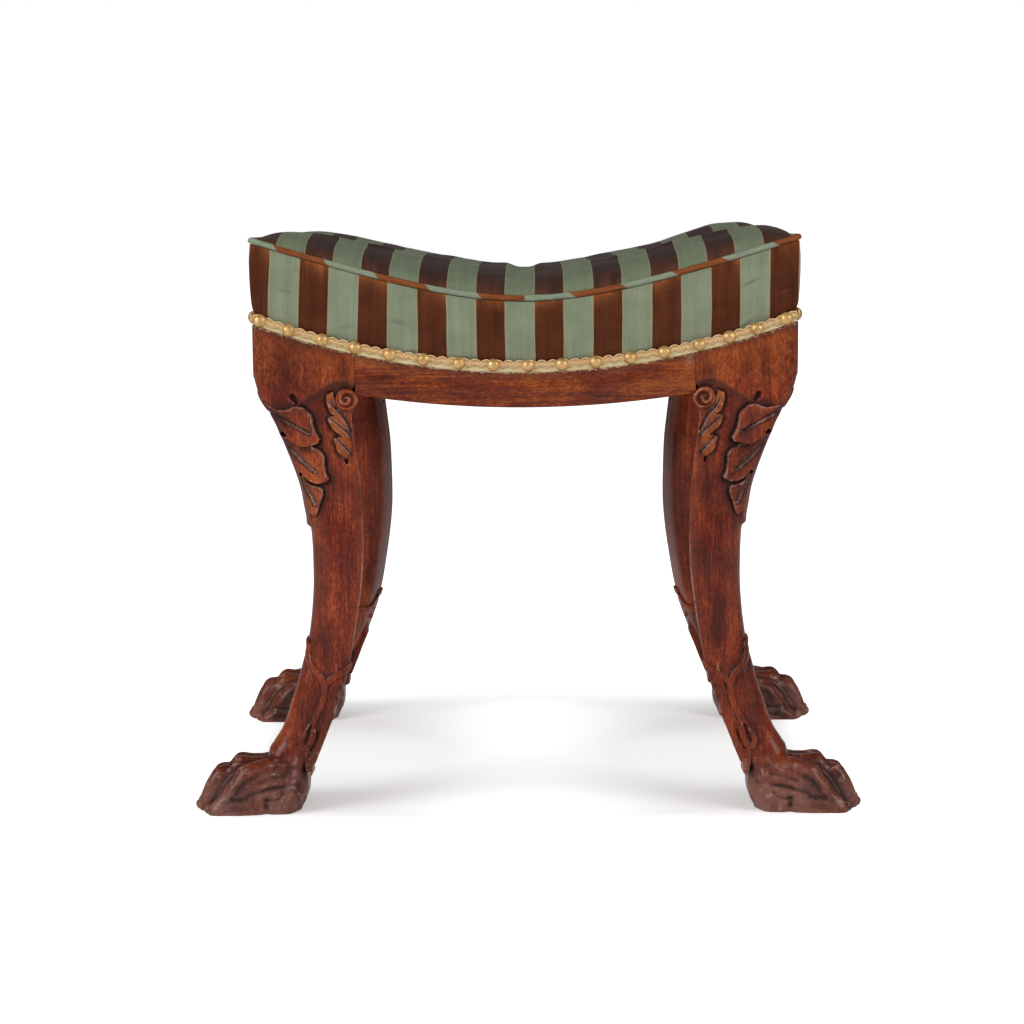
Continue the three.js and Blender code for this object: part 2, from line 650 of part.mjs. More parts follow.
// Stuffing: its bottom lies on the hessian, its sides follow the boxing and its top the cover
const stuffing_waist_share = 0.5;
const stuffing_foot_share = 0.98; // of the bottom's width, the last station before its edge
const past_edge = 2; // the station for the swelling of the side, past the top's edge at 1
function stuffing() {
  const bottom = hessian_base + hessian_thickness + clearance;
  const lining = cloth_thickness + clearance;
  const low_stand = boxingFace(0) - lining;
  const waist_stand = boxingFace(stuffing_waist_share) - lining;
  const top_stand = -welt_set - welt_radius - lining;
  const place = (share, half, inner_stand, inner_share, edge_stand) => {
    if (Math.abs(share) > 1) return Math.sign(share) * (half + edge_stand);
    return share * inner_share * (half + inner_stand);
  };
  const top = (across, along) => {
    const x = place(across, half_width, top_stand, 1, waist_stand);
    const y = place(along, half_depth, top_stand, 1, waist_stand);
    if (Math.abs(across) > 1 || Math.abs(along) > 1) {
      const edge_x = Math.min(Math.abs(x), half_width);
      const z = blend(railTop(edge_x) + bottom, boxingHead(edge_x), stuffing_waist_share);
      return new THREE.Vector3(x, y, z);
    }
    const z = seatTop(across, along, half_width + top_stand, half_depth + top_stand) - lining;
    return new THREE.Vector3(x, y, z);
  };
  const low = (across, along) => {
    const x = place(across, half_width, low_stand, stuffing_foot_share, low_stand);
    const y = place(along, half_depth, low_stand, stuffing_foot_share, low_stand);
    return new THREE.Vector3(x, y, railTop(Math.min(half_width, Math.abs(x))) + bottom);
  };
  return sheet(mirrored([...across_shares, past_edge]), mirrored([...along_shares, past_edge]), top, low);
}

// A wall panel round the seat, given its face's offset and its height up the panel, mitred at the
// corners. front panels run along X and side panels along Y.
function wallPanel(front, stations, rows, offset, height, thickness) {
  const run = front ? half_width : half_depth;
  const face = (depth) => (share, up) => {
    const stand = offset(up) - depth;
    const along = share * (run + stand - clearance / 2);
    const x = front ? along : half_width + stand;
    const y = front ? -half_depth - stand : along;
    const line_x = front ? Math.abs(share) * half_width : half_width;
    return new THREE.Vector3(x, y, height(line_x, up));
  };
  return sheet(stations, rows, face(0), face(thickness));
}

const front_station_shares = mirrored([0, 0.1, 0.2, 0.3, 0.4, 0.5, 0.62, 0.74, 0.87, 1]);
const side_station_shares = [-1, 0, 1];
const stationsOf = (front) => (front ? front_station_shares : side_station_shares);
function boxing(front) {
  const height = (x, up) => blend(boxingFoot(x), boxingHead(x), up);
  return wallPanel(front, stationsOf(front), boxing_rows, boxingFace, height, cloth_thickness);
}

// Gimp with its row of domed nails
const gimp_offset = boxingFace(0) + clearance + gimp_thickness;
const nail_sides = 6;
const nail_crown_share = 0.6; // of the radius, the flat of the dome's top
const nail_rim_share = 0.25; // of its height, the dome's rim
function nail([x, y, z], front) {
  const foot = gimp_offset - gimp_thickness / 2;
  const ring = (radius, share) => disc([0, z], radius, nail_sides).map(([along, up]) => {
    const stand = blend(foot, gimp_offset + nail_height, share);
    return front ? new THREE.Vector3(x + along, y - stand, up) : new THREE.Vector3(x + stand, y + along, up);
  });
  const radius = nail_diameter / 2;
  return solid(loft([ring(radius, 0), ring(radius, nail_rim_share), ring(radius * nail_crown_share, 1)]));
}

function gimp(front) {
  const height = (x, up) => gimpUnder(x) + gimp_width * up;
  const braid = wallPanel(front, stationsOf(front), [0, 1], () => gimp_offset, height, gimp_thickness);
  const run = front ? half_width : half_depth;
  const last_nail = run - nail_margin;
  const nails = steps(-last_nail, last_nail, 2 * Math.round(last_nail / nail_pitch)).map((along) => {
    const z = gimpUnder(front ? along : half_width) + gimp_width / 2;
    return nail(front ? [along, -half_depth, z] : [half_width, along, z], front);
  });
  return joined([solid(braid), ...nails]);
}

// The welt: a covered cord in one loop along the top edge of the boxing
const welt_sides = 6;
const welt_corner_steps = 3;
function weltPath() {
  const quarter = steps(0, 1, welt_corner_steps);
  const path = [];
  const corners = [[1, -1, -90], [1, 1, 0], [-1, 1, 90], [-1, -1, 180]];
  corners.forEach(([side_x, side_y, from], number) => {
    for (const share of quarter) {
      const angle = THREE.MathUtils.degToRad(from + 90 * share);
      const x = side_x * (welt_x - welt_corner_radius) + welt_corner_radius * Math.cos(angle);
      const y = side_y * (welt_y - welt_corner_radius) + welt_corner_radius * Math.sin(angle);
      path.push([x, y]);
    }
    const long_side = number % 2 === 1;
    const between_corners = stationsOf(long_side).slice(1, -1).reverse();
    for (const share of between_corners) {
      const x = long_side ? side_y * share * (welt_x - welt_corner_radius) : side_x * welt_x;
      const y = long_side ? side_y * welt_y : share;
      path.push([x, y]);
    }
  });
  return path.map(([x, y]) => new THREE.Vector3(x, y, weltLine(Math.abs(x))));
}

function welt() {
  const path = weltPath();
  const rings = path.map((point, i) => {
    const before = path[(i + path.length - 1) % path.length];
    const after = path[(i + 1) % path.length];
    const along = new THREE.Vector3().subVectors(after, before).normalize();
    const side = new THREE.Vector3().crossVectors(along, new THREE.Vector3(0, 0, 1)).normalize();
    const up = new THREE.Vector3().crossVectors(side, along);
    return disc([0, 0], welt_radius, welt_sides).map(([out, over]) => {
      return point.clone().addScaledVector(side, out).addScaledVector(up, over);
    });
  });
  return loft(rings, true);
}

// The assembly. Pieces are made once, for the right front, and mirrored to their other places.
const stool = new THREE.Group();
function add(name, geometry, finish, { mirror_x = false, mirror_y = false, y = 0 } = {}) {
  const mesh = new THREE.Mesh(geometry, finish);
  mesh.name = name;
  mesh.scale.set(mirror_x ? -1 : 1, mirror_y ? -1 : 1, 1);
  mesh.position.y = y;
  stool.add(mesh);
}

const leg_geometry = geometryOf(leg());
const corner_block_geometry = cornerBlock();
for (const [end, mirror_y] of [["front", false], ["rear", true]]) {
  for (const [side, mirror_x] of [["right", false], ["left", true]]) {
    const y = mirror_y ? leg_centre_y : -leg_centre_y;
    add(`leg_${end}_${side}`, leg_geometry, dark_mahogany, { mirror_x, mirror_y, y });
    add(`corner_block_${end}_${side}`, corner_block_geometry, beech, { mirror_x, mirror_y });
  }
}

const walls = [
  ["rail", geometryOf(frontRail()), geometryOf(sideRail()), mahogany],
  ["boxing", boxing(true), boxing(false), striped_silk],
  ["gimp", geometryOf(gimp(true)), geometryOf(gimp(false)), gimp_braid],
];
for (const [name, front_geometry, side_geometry, finish] of walls) {
  add(`${name}_front`, front_geometry, finish);
  add(`${name}_rear`, front_geometry, finish, { mirror_y: true });
  add(`${name}_right`, side_geometry, finish);
  add(`${name}_left`, side_geometry, finish, { mirror_x: true });
}

strap_places.forEach((place, i) => add(`webbing_along_${i + 1}`, strapAlong(place), jute));
cross_places.forEach((_, i) => add(`webbing_across_${i + 1}`, strapAcross(i), jute));
add("hessian", hessianSheet(), hessian);
add("seat_stuffing", stuffing(), horsehair);
add("top_cover", topCover(), striped_silk);
add("welt", welt(), welt_silk);

export default stool;
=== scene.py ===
import math

import bmesh
import bpy
import numpy as np
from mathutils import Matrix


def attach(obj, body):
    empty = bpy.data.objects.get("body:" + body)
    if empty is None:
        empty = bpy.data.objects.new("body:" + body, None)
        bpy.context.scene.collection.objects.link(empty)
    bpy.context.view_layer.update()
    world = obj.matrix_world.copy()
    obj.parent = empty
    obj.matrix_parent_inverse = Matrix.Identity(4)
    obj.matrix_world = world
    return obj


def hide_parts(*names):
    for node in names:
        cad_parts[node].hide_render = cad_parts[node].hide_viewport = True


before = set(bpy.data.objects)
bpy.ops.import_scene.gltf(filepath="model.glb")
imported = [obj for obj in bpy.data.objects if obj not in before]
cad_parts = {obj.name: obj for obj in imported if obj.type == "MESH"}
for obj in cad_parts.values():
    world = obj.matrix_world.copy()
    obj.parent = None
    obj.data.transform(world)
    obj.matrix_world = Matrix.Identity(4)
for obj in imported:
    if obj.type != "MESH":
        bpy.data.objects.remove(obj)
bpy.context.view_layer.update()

import openvdb
from mathutils import Matrix, Vector

# Legs
# Each leg is one piece of mahogany, sawn from a 50 mm plank to a sabre curve and carved on its
# outer face: a scroll and a spray of leaves on the haunch, a ribbon looped at the ankle, a lion's
# paw. One leg is carved here as a solid in small cells, in millimetres, and mirrored to four.
mm = 0.001
half_width, half_depth = 215, 210
block_inner = 134
plank_half = 25
leg_middle_y = half_depth - plank_half
top_middle, top_rise = 368, 39
under_middle, under_rise = 326, 11
gimp_drop = 14
leg_cell = 0.78
leg_x = np.arange(116, 274, leg_cell, dtype=np.float32)
leg_y = np.arange(-34.5, 34.6, leg_cell, dtype=np.float32)
leg_z = np.arange(-2.5, 410, leg_cell, dtype=np.float32)


def arc_rise(x, half_chord, rise):
    """Height over the middle of a dished arc that has risen by so much at half its chord."""
    radius = (half_chord ** 2 + rise ** 2) / (2 * rise)
    return radius - np.sqrt(radius ** 2 - np.minimum(np.abs(x), half_chord) ** 2)


def rail_top(x):
    return top_middle + arc_rise(x, half_width, top_rise)


def rail_under(x):
    return under_middle + arc_rise(x, block_inner, under_rise)


def gimp_under(x):
    return rail_top(x) - gimp_drop


def through(points, steps=6):
    """A smooth curve through points, as many short straight steps."""
    given = np.array(points, float)
    ends = [2 * given[0] - given[1], *given, 2 * given[-1] - given[-2]]
    t = np.linspace(0, 1, steps, endpoint=False)[:, None]
    curve = [
        0.5 * (2 * b + (c - a) * t + (2 * a - 5 * b + 4 * c - d) * t ** 2
               + (3 * (b - c) + d - a) * t ** 3)
        for a, b, c, d in zip(ends, ends[1:], ends[2:], ends[3:])
    ]
    return np.vstack([*curve, given[-1:]])


def joined(runs):
    """One line from smooth runs that meet in crisp corners."""
    return np.vstack([through(run) for run in runs])


def by_height(table, z):
    """Reads a table of (height, value), given from the floor up, along a smooth curve."""
    curve = through(table)
    return np.interp(z, curve[:, 0], curve[:, 1]).astype(np.float32)


def smooth_share(value, low, high):
    t = np.clip((value - low) / (high - low), 0, 1)
    return t * t * (3 - 2 * t)


def hump(away, width):
    return np.exp(-(away / width) ** 2)


def rounded(from_edge, reach):
    """A quarter round, from 0 at an edge to 1 at that reach from it."""
    return np.sqrt(np.clip(1 - (1 - np.clip(from_edge / reach, 0, 1)) ** 2, 0, 1))


def soft_least(a, b, reach):
    """The lesser of two distances, with the corner between them rounded over that reach."""
    near = np.maximum(reach - np.abs(a - b), 0) / reach
    return np.minimum(a, b) - near * near * reach / 4


def from_line(x, z, line):
    """Distance from every place to a line of short straight steps."""
    least = np.full(np.broadcast(x, z).shape, 1e9)
    for (ax, az), (bx, bz) in zip(line, line[1:]):
        dx, dz = bx - ax, bz - az
        along = np.clip(((x - ax) * dx + (z - az) * dz) / max(dx * dx + dz * dz, 1e-9), 0, 1)
        least = np.minimum(least, (x - ax - along * dx) ** 2 + (z - az - along * dz) ** 2)
    return np.sqrt(least)


def within(x, z, outline):
    inside = np.zeros(np.broadcast(x, z).shape, bool)
    for (ax, az), (bx, bz) in zip(outline, np.roll(outline, -1, 0)):
        if az != bz:
            crossing = ax + (z - az) * (bx - ax) / (bz - az)
            inside ^= ((az > z) != (bz > z)) & (x < crossing)
    return inside


# The edges of the leg from the floor up, as they stand in the plane of its front
inner_edge = [
    (-3, 184), (3, 181), (8, 178.5), (14, 177.5), (28, 177), (36, 175.5), (45, 172.5), (53, 168.5),
    (65, 162), (78, 156.3), (90, 151.6), (105, 146), (122, 140.8), (134, 138.2), (148, 135.8),
    (163, 133.4), (177, 131.4), (192, 129.8), (207, 128.8), (228, 128.3), (248, 128.5),
    (268, 129.7), (287, 132), (307, 134.4), (322, 135.8), (332, 135.6), (345, 134), (412, 134),
]
outer_edge = [
    (-3, 208), (20, 212), (47, 209.5), (53, 206.8), (59.6, 202.6), (66, 198.6), (77, 193.6),
    (90, 189.2), (101, 185.4), (116, 181.3), (130, 177.7), (145, 175.1), (162, 172.9),
    (184, 171.3), (205, 171.3), (216, 171.7), (224, 172.2), (229.6, 173), (232.4, 175.9),
    (238, 176.4), (247, 178), (260, 180.2), (273, 184), (286, 188.8), (298, 193.5), (311, 198.7),
    (322, 204.2), (333, 209), (341, 211.8), (349, 213.9), (358, 215), (412, 215),
]
side_half = [
    (-3, 15), (12, 16), (26, 20), (38, 24.4), (47, 24.4), (55, 23.6), (64, 23.2), (120, 23.2),
    (205, 24.2), (300, 25), (412, 25),
]
squareness_table = [
    (-3, 3), (55, 3), (130, 2.7), (205, 2.8), (245, 3.6), (280, 5.5), (315, 9), (345, 13),
    (412, 13),
]
arris_overrun = [
    (-3, 0), (40, 0), (62, 3.5), (205, 4.5), (280, 3.5), (330, 4), (345, 7), (412, 7),
]

inner = by_height(inner_edge, leg_z)
outer = by_height(outer_edge, leg_z)
overrun = by_height(arris_overrun, leg_z)
core_middle = (inner - overrun + outer) / 2
core_half = (outer - inner + overrun) / 2
thick_half = by_height(side_half, leg_z)
squareness = by_height(squareness_table, leg_z)
across = np.abs((leg_x[:, None] - core_middle) / core_half)[:, None, :]
deep = np.abs(leg_y[:, None] / thick_half)[None]
across_power, deep_power = across ** squareness, deep ** squareness
total = np.maximum(across_power + deep_power, 1e-6)
reach = total ** (1 / squareness)
slope = reach / total * np.hypot(
    across_power / np.maximum(across, 1e-3) / core_half,
    deep_power / np.maximum(deep, 1e-3) / thick_half
)
core = ((reach - 1) / np.maximum(slope, 1e-3)).astype(np.float32)
inner_slope = np.hypot(1, np.gradient(inner, leg_cell))
behind_arris = np.maximum(leg_y[:, None] + plank_half, 0) / (2 * plank_half)
inner_face = inner + smooth_share(337 - leg_z, 0, 25) * (5.5 * behind_arris + 6 * behind_arris ** 2)
inner_cut = (inner_face[None] - leg_x[:, None, None]) / inner_slope
rounding = 0.05 + 15 * behind_arris[None]
near_corner = np.maximum(rounding - np.abs(core - inner_cut), 0)
core = (np.maximum(core, inner_cut) + near_corner ** 2 / rounding / 4).astype(np.float32)

# The carving on the haunch. Each leaf lobe has its height, its free edge from the root round to
# the root, the line that closes it past the root, and its vein.
lobes = [
    (2.1, [
        [(176, 272), (171.5, 266.5), (166.2, 264.5), (161.9, 263.2), (160.7, 258.9), (162.1, 253.7),
         (163.9, 249.4), (165.2, 244.2), (167, 239.9)],
        [(167, 239.9), (170, 240.6), (171.7, 242.5)],
        [(171.7, 242.5), (170.6, 237), (170.2, 232), (171.1, 229)],
        [(171.1, 229), (173.5, 231), (180, 232)],
    ], [(190, 262), (190, 285), (183, 290)],
     [(175.6, 268.5), (172.5, 261.5), (169.8, 257.2), (166.8, 251)]),
    (2.6, [
        [(181, 304), (173.5, 300.5), (167.4, 295.5), (162.3, 292.5), (159.4, 288.1), (159, 282),
         (158.6, 277), (157.5, 273.5), (155.8, 270.9)],
        [(155.8, 270.9), (157.6, 268.3), (162.7, 266.2), (167.9, 266.7), (173, 269.3),
         (177.6, 273.6)],
        [(177.6, 273.6), (181, 272.5), (188, 272)],
    ], [(200, 285), (206, 305), (196, 314)],
     [(189.5, 298.5), (181.2, 290), (174.5, 283.9), (166.5, 277)]),
    (2.9, [
        [(218, 346), (213.6, 342.5), (207.8, 334.8), (201.1, 328.7), (193.4, 325.9), (186.6, 326.1),
         (182.5, 328), (177.1, 327.7), (172.1, 324.3), (168.7, 320), (167.6, 314), (166.3, 308.8),
         (162.6, 301.9)],
        [(162.6, 301.9), (163.9, 298.5), (170, 296.4), (175.1, 295.3), (180.2, 296.9),
         (184.5, 299.5), (188.7, 303.8), (191.4, 305.8)],
        [(191.4, 305.8), (196, 303.5), (202, 303)],
    ], [(230, 320), (240, 345)],
     [(203, 324), (196.9, 321), (186.7, 315.8), (179.1, 311.5), (171, 307)]),
]
plan_x, plan_z = leg_x[:, None].astype(float), leg_z[None].astype(float)


def away_from(line):
    """Distance from a line over the plan of the leg's front."""
    return from_line(plan_x, plan_z, line)


def inside_of(outline):
    return within(plan_x, plan_z, np.asarray(outline))


# The block keeps its flat face down to this line, below which the haunch is scooped back
shoulder = through([
    (120, 338), (133.5, 345.7), (143.7, 349.3), (152.9, 347.5), (160.2, 343), (167.6, 338.5),
    (175, 333.5), (182.3, 327.4), (189.7, 325.4), (198.9, 327.2), (209.9, 333.6), (216, 341.5),
    (222, 352),
])
below_shoulder = np.interp(leg_x, shoulder[:, 0], shoulder[:, 1])[:, None] - plan_z
scoop = 2.4 * smooth_share(below_shoulder, -1.5, 8) * smooth_share(plan_z, 200, 252)
scoop = scoop * (0.45 + 0.55 * smooth_share(plan_x, 131, 150))
from_outer = outer[None] - plan_x
clear_of_outer = smooth_share(from_outer, 3, 16)
rise_from_root = smooth_share(from_outer, -0.5, 18)
relief = -scoop
painted_glints = np.zeros_like(relief)
# The tone is painted light and shade: painted shade under the block's shoulder and round the leaves,
# painted light on them
tone = -0.8 * smooth_share(below_shoulder, -1, 3) * (1 - smooth_share(below_shoulder, 5, 17))
tone = tone * (plan_z > 290)
for height, edges, past_root, vein in lobes:
    free_edge = joined(edges)
    inside = inside_of(np.vstack([free_edge, past_root]))
    from_edge = away_from(free_edge)
    from_vein = away_from(through(vein))
    (root_x, root_z), (tip_x, tip_z) = vein[0], vein[-1]
    above_vein = (plan_x - root_x) * (tip_z - root_z) - (plan_z - root_z) * (tip_x - root_x)
    above_vein = smooth_share(above_vein / math.hypot(tip_x - root_x, tip_z - root_z), -0.6, 0.6)
    to_edge = from_vein / np.maximum(from_edge + from_vein, 1e-6)
    upper = 0.3 * (1 - (2 * to_edge - 1) ** 2) - 0.25 * (1 - to_edge) ** 4
    lower = -0.62 + 0.85 * to_edge ** 0.75
    second_line = hump(from_vein - 3.1, 0.8) * above_vein * smooth_share(from_edge, 4, 8)
    swell = height * (upper * above_vein + lower * (1 - above_vein) - 0.16 * second_line)
    groove = 0.6 * height * hump(from_vein, 0.95)
    lobe = height * (0.3 + 0.75 * rise_from_root) + (swell - groove) * (0.4 + 0.6 * rise_from_root)
    moat = 1.1 * (1 - smooth_share(from_edge, 0, 3)) * clear_of_outer
    moat = moat * smooth_share(below_shoulder, 0, 5)
    standing = np.maximum(lobe * rounded(from_edge, 1.2) - scoop, relief - 3)
    relief = np.where(inside, standing, relief - moat)
    # Each lobe is painted lit away from its vein and towards its tip, with painted shade along the
    # vein, at its root and round its free edge
    lit = smooth_share(from_vein, 2.2, 6) * (1 - 0.55 * above_vein) * rise_from_root
    lit = lit - 0.6 * (1 - rise_from_root)
    lit = lit - hump(from_vein - 1.6, 1.7) * (1 - 0.7 * above_vein)
    shadow = (1 - smooth_share(from_edge, 1, 9)) * clear_of_outer
    tone = np.where(inside, 1.45 * lit, np.minimum(tone, -1.0 * shadow))
    # Painted highlights along the lower side of the vein and along the lobe's upper edge
    lip = 0.75 * hump(from_vein - 0.9, 0.8) * (1 - above_vein)
    lip = lip * smooth_share(rise_from_root, 0.1, 0.5)
    upper_edge = 0.6 * hump(away_from(through(edges[0])) - 0.7, 0.7) * rise_from_root
    painted_glints = np.where(inside, np.maximum(lip, upper_edge), painted_glints)

small_leaf = [
    [(152, 339), (156.5, 337), (157.3, 332), (156.2, 328.5), (154.1, 322.4), (149.8, 319.9)],
    [(149.8, 319.9), (153.5, 320.2), (156.6, 318.2)],
    [(156.6, 318.2), (154.6, 313.8), (152.6, 309.8), (148.4, 306.1), (145.4, 303.6)],
    [(145.4, 303.6), (148.8, 303.4), (151.6, 301.6)],
    [(151.6, 301.6), (150.2, 296.6), (149.2, 292.4), (146.2, 289), (142.6, 286.6)],
    [(142.6, 286.6), (139.4, 289.6), (138, 297), (138.6, 305.2), (140.4, 312), (143.5, 319),
     (147, 325)],
]
from_edge = away_from(joined(small_leaf[:-1]))
from_inner_side = away_from(through(small_leaf[-1]))
leaf = 2.7 * rounded(from_edge, 1.3) * (0.12 + 0.88 * smooth_share(from_inner_side, 0, 8))
inside = inside_of(joined(small_leaf))
# The small leaf is painted lit, with painted shade round its free edge and along its grooves, and
# painted highlights beside them
tone = np.where(inside, 0.5, np.minimum(tone, -0.7 * (1 - smooth_share(from_edge, 0, 5))))
for groove in (
    [(153, 332), (150.2, 327), (146.5, 322.5), (142.2, 316.5), (138, 308)],
    [(153.4, 318.6), (149.8, 315), (145.4, 311.1), (141.7, 308.2), (138.4, 303.4)],
    [(149.2, 303.4), (145.6, 298.5), (141.9, 294.4), (138.2, 289.6)],
):
    from_groove = away_from(through(groove))
    relief = relief - 1.5 * hump(from_groove, 0.85)
    tone = tone - 1.2 * hump(from_groove - 0.6, 1.1)
    painted_glints = np.maximum(painted_glints, 0.6 * hump(from_groove - 1.1, 0.6) * inside)
moat = 0.9 * (1 - smooth_share(from_edge, 0, 3)) * smooth_share(plan_x, 142, 149)
relief = np.where(inside, relief + leaf, relief - moat)
# Drilled eyes where the lobes part, each from one place to another, with a size and a narrowing
for (hole_x, hole_z), run_to, size, narrowing in (
    ((183.8, 335.6), (180.2, 331), 3.7, 0.3), ((190.6, 305.2), (192.4, 306.6), 1.5, 0),
    ((178, 273.2), (178.8, 274.4), 1.0, 0), ((142, 285.2), (141.7, 283.2), 1.2, 0),
):
    hole = away_from([(hole_x, hole_z), run_to])
    hole = hole + narrowing * np.hypot(plan_x - hole_x, plan_z - hole_z)
    relief -= 3.8 * (1 - smooth_share(hole, 0.2 * size, size + 0.6))

# The scroll: a button whose raised fillet winds from the inner arris round to the eye
scroll_x, scroll_z, scroll_radius, turn_pitch = 141.2, 333.2, 8.4, 5.9
turn_radius = np.hypot(plan_x - scroll_x, plan_z - scroll_z)
turned = np.mod(np.arctan2(plan_z - scroll_z, scroll_x - plan_x) / (2 * math.pi), 1)
relief -= 1.1 * hump(turn_radius - scroll_radius, 2.6) * (turn_radius > scroll_radius)
winding = np.cos(2 * math.pi * ((turn_radius - 7.9) / turn_pitch + turned))
rim = 1.9 * hump(turn_radius - 7.5, 0.9) - 1
scroll_face = 1.15 * np.maximum(np.where(turn_radius < 1.2, -0.6, winding), rim)
on_scroll = turn_radius < scroll_radius + 0.5
# The scroll is painted lit on its winding fillet and shaded in its recess, with a painted highlight on
# the fillet
tone = np.where(on_scroll, 0.4 * scroll_face, tone)
fillet = 0.6 * smooth_share(scroll_face, 0.8, 1.1) * (turn_radius < 5.5)
painted_glints = np.where(on_scroll, fillet, painted_glints)
on_front = smooth_share(-leg_y, 3, 9)[None, :, None]
leg = core - relief[:, None, :].astype(np.float32) * on_front
button = scroll_face[:, None, :].astype(np.float32)
proud_of_front = -leg_y[None, :, None] - plank_half + 0.5 - button
leg = np.minimum(leg, np.maximum(
    (turn_radius - scroll_radius - 0.2)[:, None, :].astype(np.float32),
    np.maximum(proud_of_front, leg_y[None, :, None] + 17),
))

# The ribbon of the collar, on both faces of the leg, with the cuff below it and its two tufts
ribbon = through([
    (188, 138.5), (179, 138.4), (175.4, 135), (176, 129), (174.2, 122.4), (169.7, 116.3),
    (165, 110.4), (162.4, 103.4), (162.3, 96.5), (164.9, 88.7), (168.4, 81), (172.4, 73.2),
    (176.8, 65.8), (180.6, 60), (181.4, 56), (178.5, 53.4), (174.6, 56), (172.6, 61.4),
    (171.6, 67),
])
ribbon_arm = through([
    (160.6, 105.6), (156.7, 109), (150.6, 112.6), (144.5, 116.4), (138, 121.2), (126, 130.6),
])
from_ribbon = np.minimum(away_from(ribbon), away_from(ribbon_arm))
ribbon_half = 2.9
band = (
    2.0 * np.sqrt(np.clip(1 - (from_ribbon / ribbon_half) ** 4, 0, 1)) * smooth_share(plan_z, 48, 52)
)
cuff_line = np.vstack([ribbon[:50], ribbon_arm[2:], [(100, 136), (100, 40), (240, 40), (240, 138)]])
cuff = 0.8 * inside_of(cuff_line) * smooth_share(plan_z, 60, 90)
slit = 3.0 * hump(away_from([(173.6, 71), (176, 64.4), (178.2, 58.6)]), 0.95)
collar_moat = 0.35 * hump(from_ribbon - ribbon_half - 0.5, 0.8)
collar = np.maximum(band, cuff) - slit - collar_moat
hair_ends = [
    (152, 122), (147.4, 104.6), (148.2, 103.2), (150.6, 104), (149.8, 95.5), (151, 93.8),
    (153.4, 95), (154.8, 78.9), (161, 64.3), (170.3, 40.6), (172.6, 40.2), (174, 44), (172.8, 52),
    (168, 62), (163, 78), (160, 95),
]
second_hair = [
    (174.6, 54), (172.4, 42), (172.9, 30.8), (175.4, 29.4), (177.6, 32), (178.8, 40), (179.6, 54),
]
hair = np.zeros_like(relief)
tufts = []
for tuft, height in ((second_hair, 1.5), (hair_ends, 1.9)):
    inside, from_edge = inside_of(tuft), away_from([*tuft, tuft[0]])
    hair = np.where(inside, np.maximum(hair, height * rounded(from_edge, 1.6)), hair)
    tufts.append(from_edge * np.where(inside, -1, 1))
for strand_line in (
    [(166, 76), (169, 66), (171.4, 56), (172.6, 46)], [(157, 98), (160, 86), (164, 74)],
    [(176.2, 48), (175.6, 36)], [(152, 112), (154.6, 103), (157.4, 94)],
):
    hair = hair - 0.5 * hump(away_from(through(strand_line)), 0.7) * (hair > 0.4)
collar_and_hair = np.maximum(collar, hair * (from_ribbon > ribbon_half))
# On the face towards the other legs the ribbon meets the inner edge lower down
lowered = 9.5 * smooth_share(leg_y, -14, 12)[None] * smooth_share(166 - leg_x, 0, 22)[:, None]
cells_up = np.arange(len(leg_z)) + (lowered / leg_cell)[:, :, None]
whole = np.minimum(cells_up.astype(int), len(leg_z) - 2)
wrapped = collar[:, None, :]
below, above = (np.take_along_axis(wrapped, whole + k, axis=2) for k in (0, 1))
wrapped = below + (above - below) * (cells_up - whole)
leg = leg - np.where(on_front > 0.5, collar_and_hair[:, None, :], wrapped).astype(np.float32)

# The two tufts stand clear of the shank at its inner edge, so they are also solids of their own
tuft_width = (np.abs(leg_y + 12)[None, :, None] - 11).astype(np.float32)
for away in tufts:
    leg = soft_least(leg, np.maximum(away[:, None, :].astype(np.float32), tuft_width), 0.8)

# The paw: four toes that grow from one pad. Each is its side view, rounded over its own width.
low = slice(0, int(75 / leg_cell))
paw_x, paw_z = leg_x[:, None].astype(float), leg_z[None, low].astype(float)
middle_toe = through([
    (190, 38), (199, 43), (212, 43.4), (226, 43.2), (235.4, 42.8), (240.2, 39.8), (243, 36.4),
    (248.2, 35.4), (253.6, 32.2), (258.4, 26.4), (262, 19.6), (265, 12), (266.8, 5), (265, -1),
    (258, -6), (220, -7), (190, -6), (184, 10), (186, 28), (190, 38),
])
outer_toe = through([
    (190, 43), (198, 45.6), (204.3, 45.4), (210, 44.2), (217, 42.6), (224.5, 40.8), (230.2, 38),
    (233.6, 33.4), (236.6, 28.2), (241.4, 21.8), (246.4, 15.6), (251.4, 11.2), (255.4, 6.8),
    (257.2, 2.8), (255.4, -1.2), (246, -6), (220, -7), (194, -6), (187, 8), (187, 26), (190, 43),
])
pad_side = through([
    (181, 44), (178, 33), (177.2, 22), (178.4, 12), (182.8, 3.5), (189, -5), (215, -7), (245, -6),
    (253, 0), (252, 9), (246, 19), (238, 28), (226, 34.5), (210, 38), (197, 42), (189, 45),
    (181, 44),
])


def paw_part(side_view, middle, half, radius):
    """A side view rounded over its width, with its middle and half width given along the paw."""
    away = from_line(paw_x, paw_z, side_view) * np.where(within(paw_x, paw_z, side_view), -1, 1)
    upright = (away + radius)[:, None, :]
    level = (np.abs(leg_y[None] - middle[:, None]) - half[:, None] + radius)[:, :, None]
    outside = np.hypot(np.maximum(upright, 0), np.maximum(level, 0))
    return (np.minimum(np.maximum(upright, level), 0) + outside - radius).astype(np.float32)


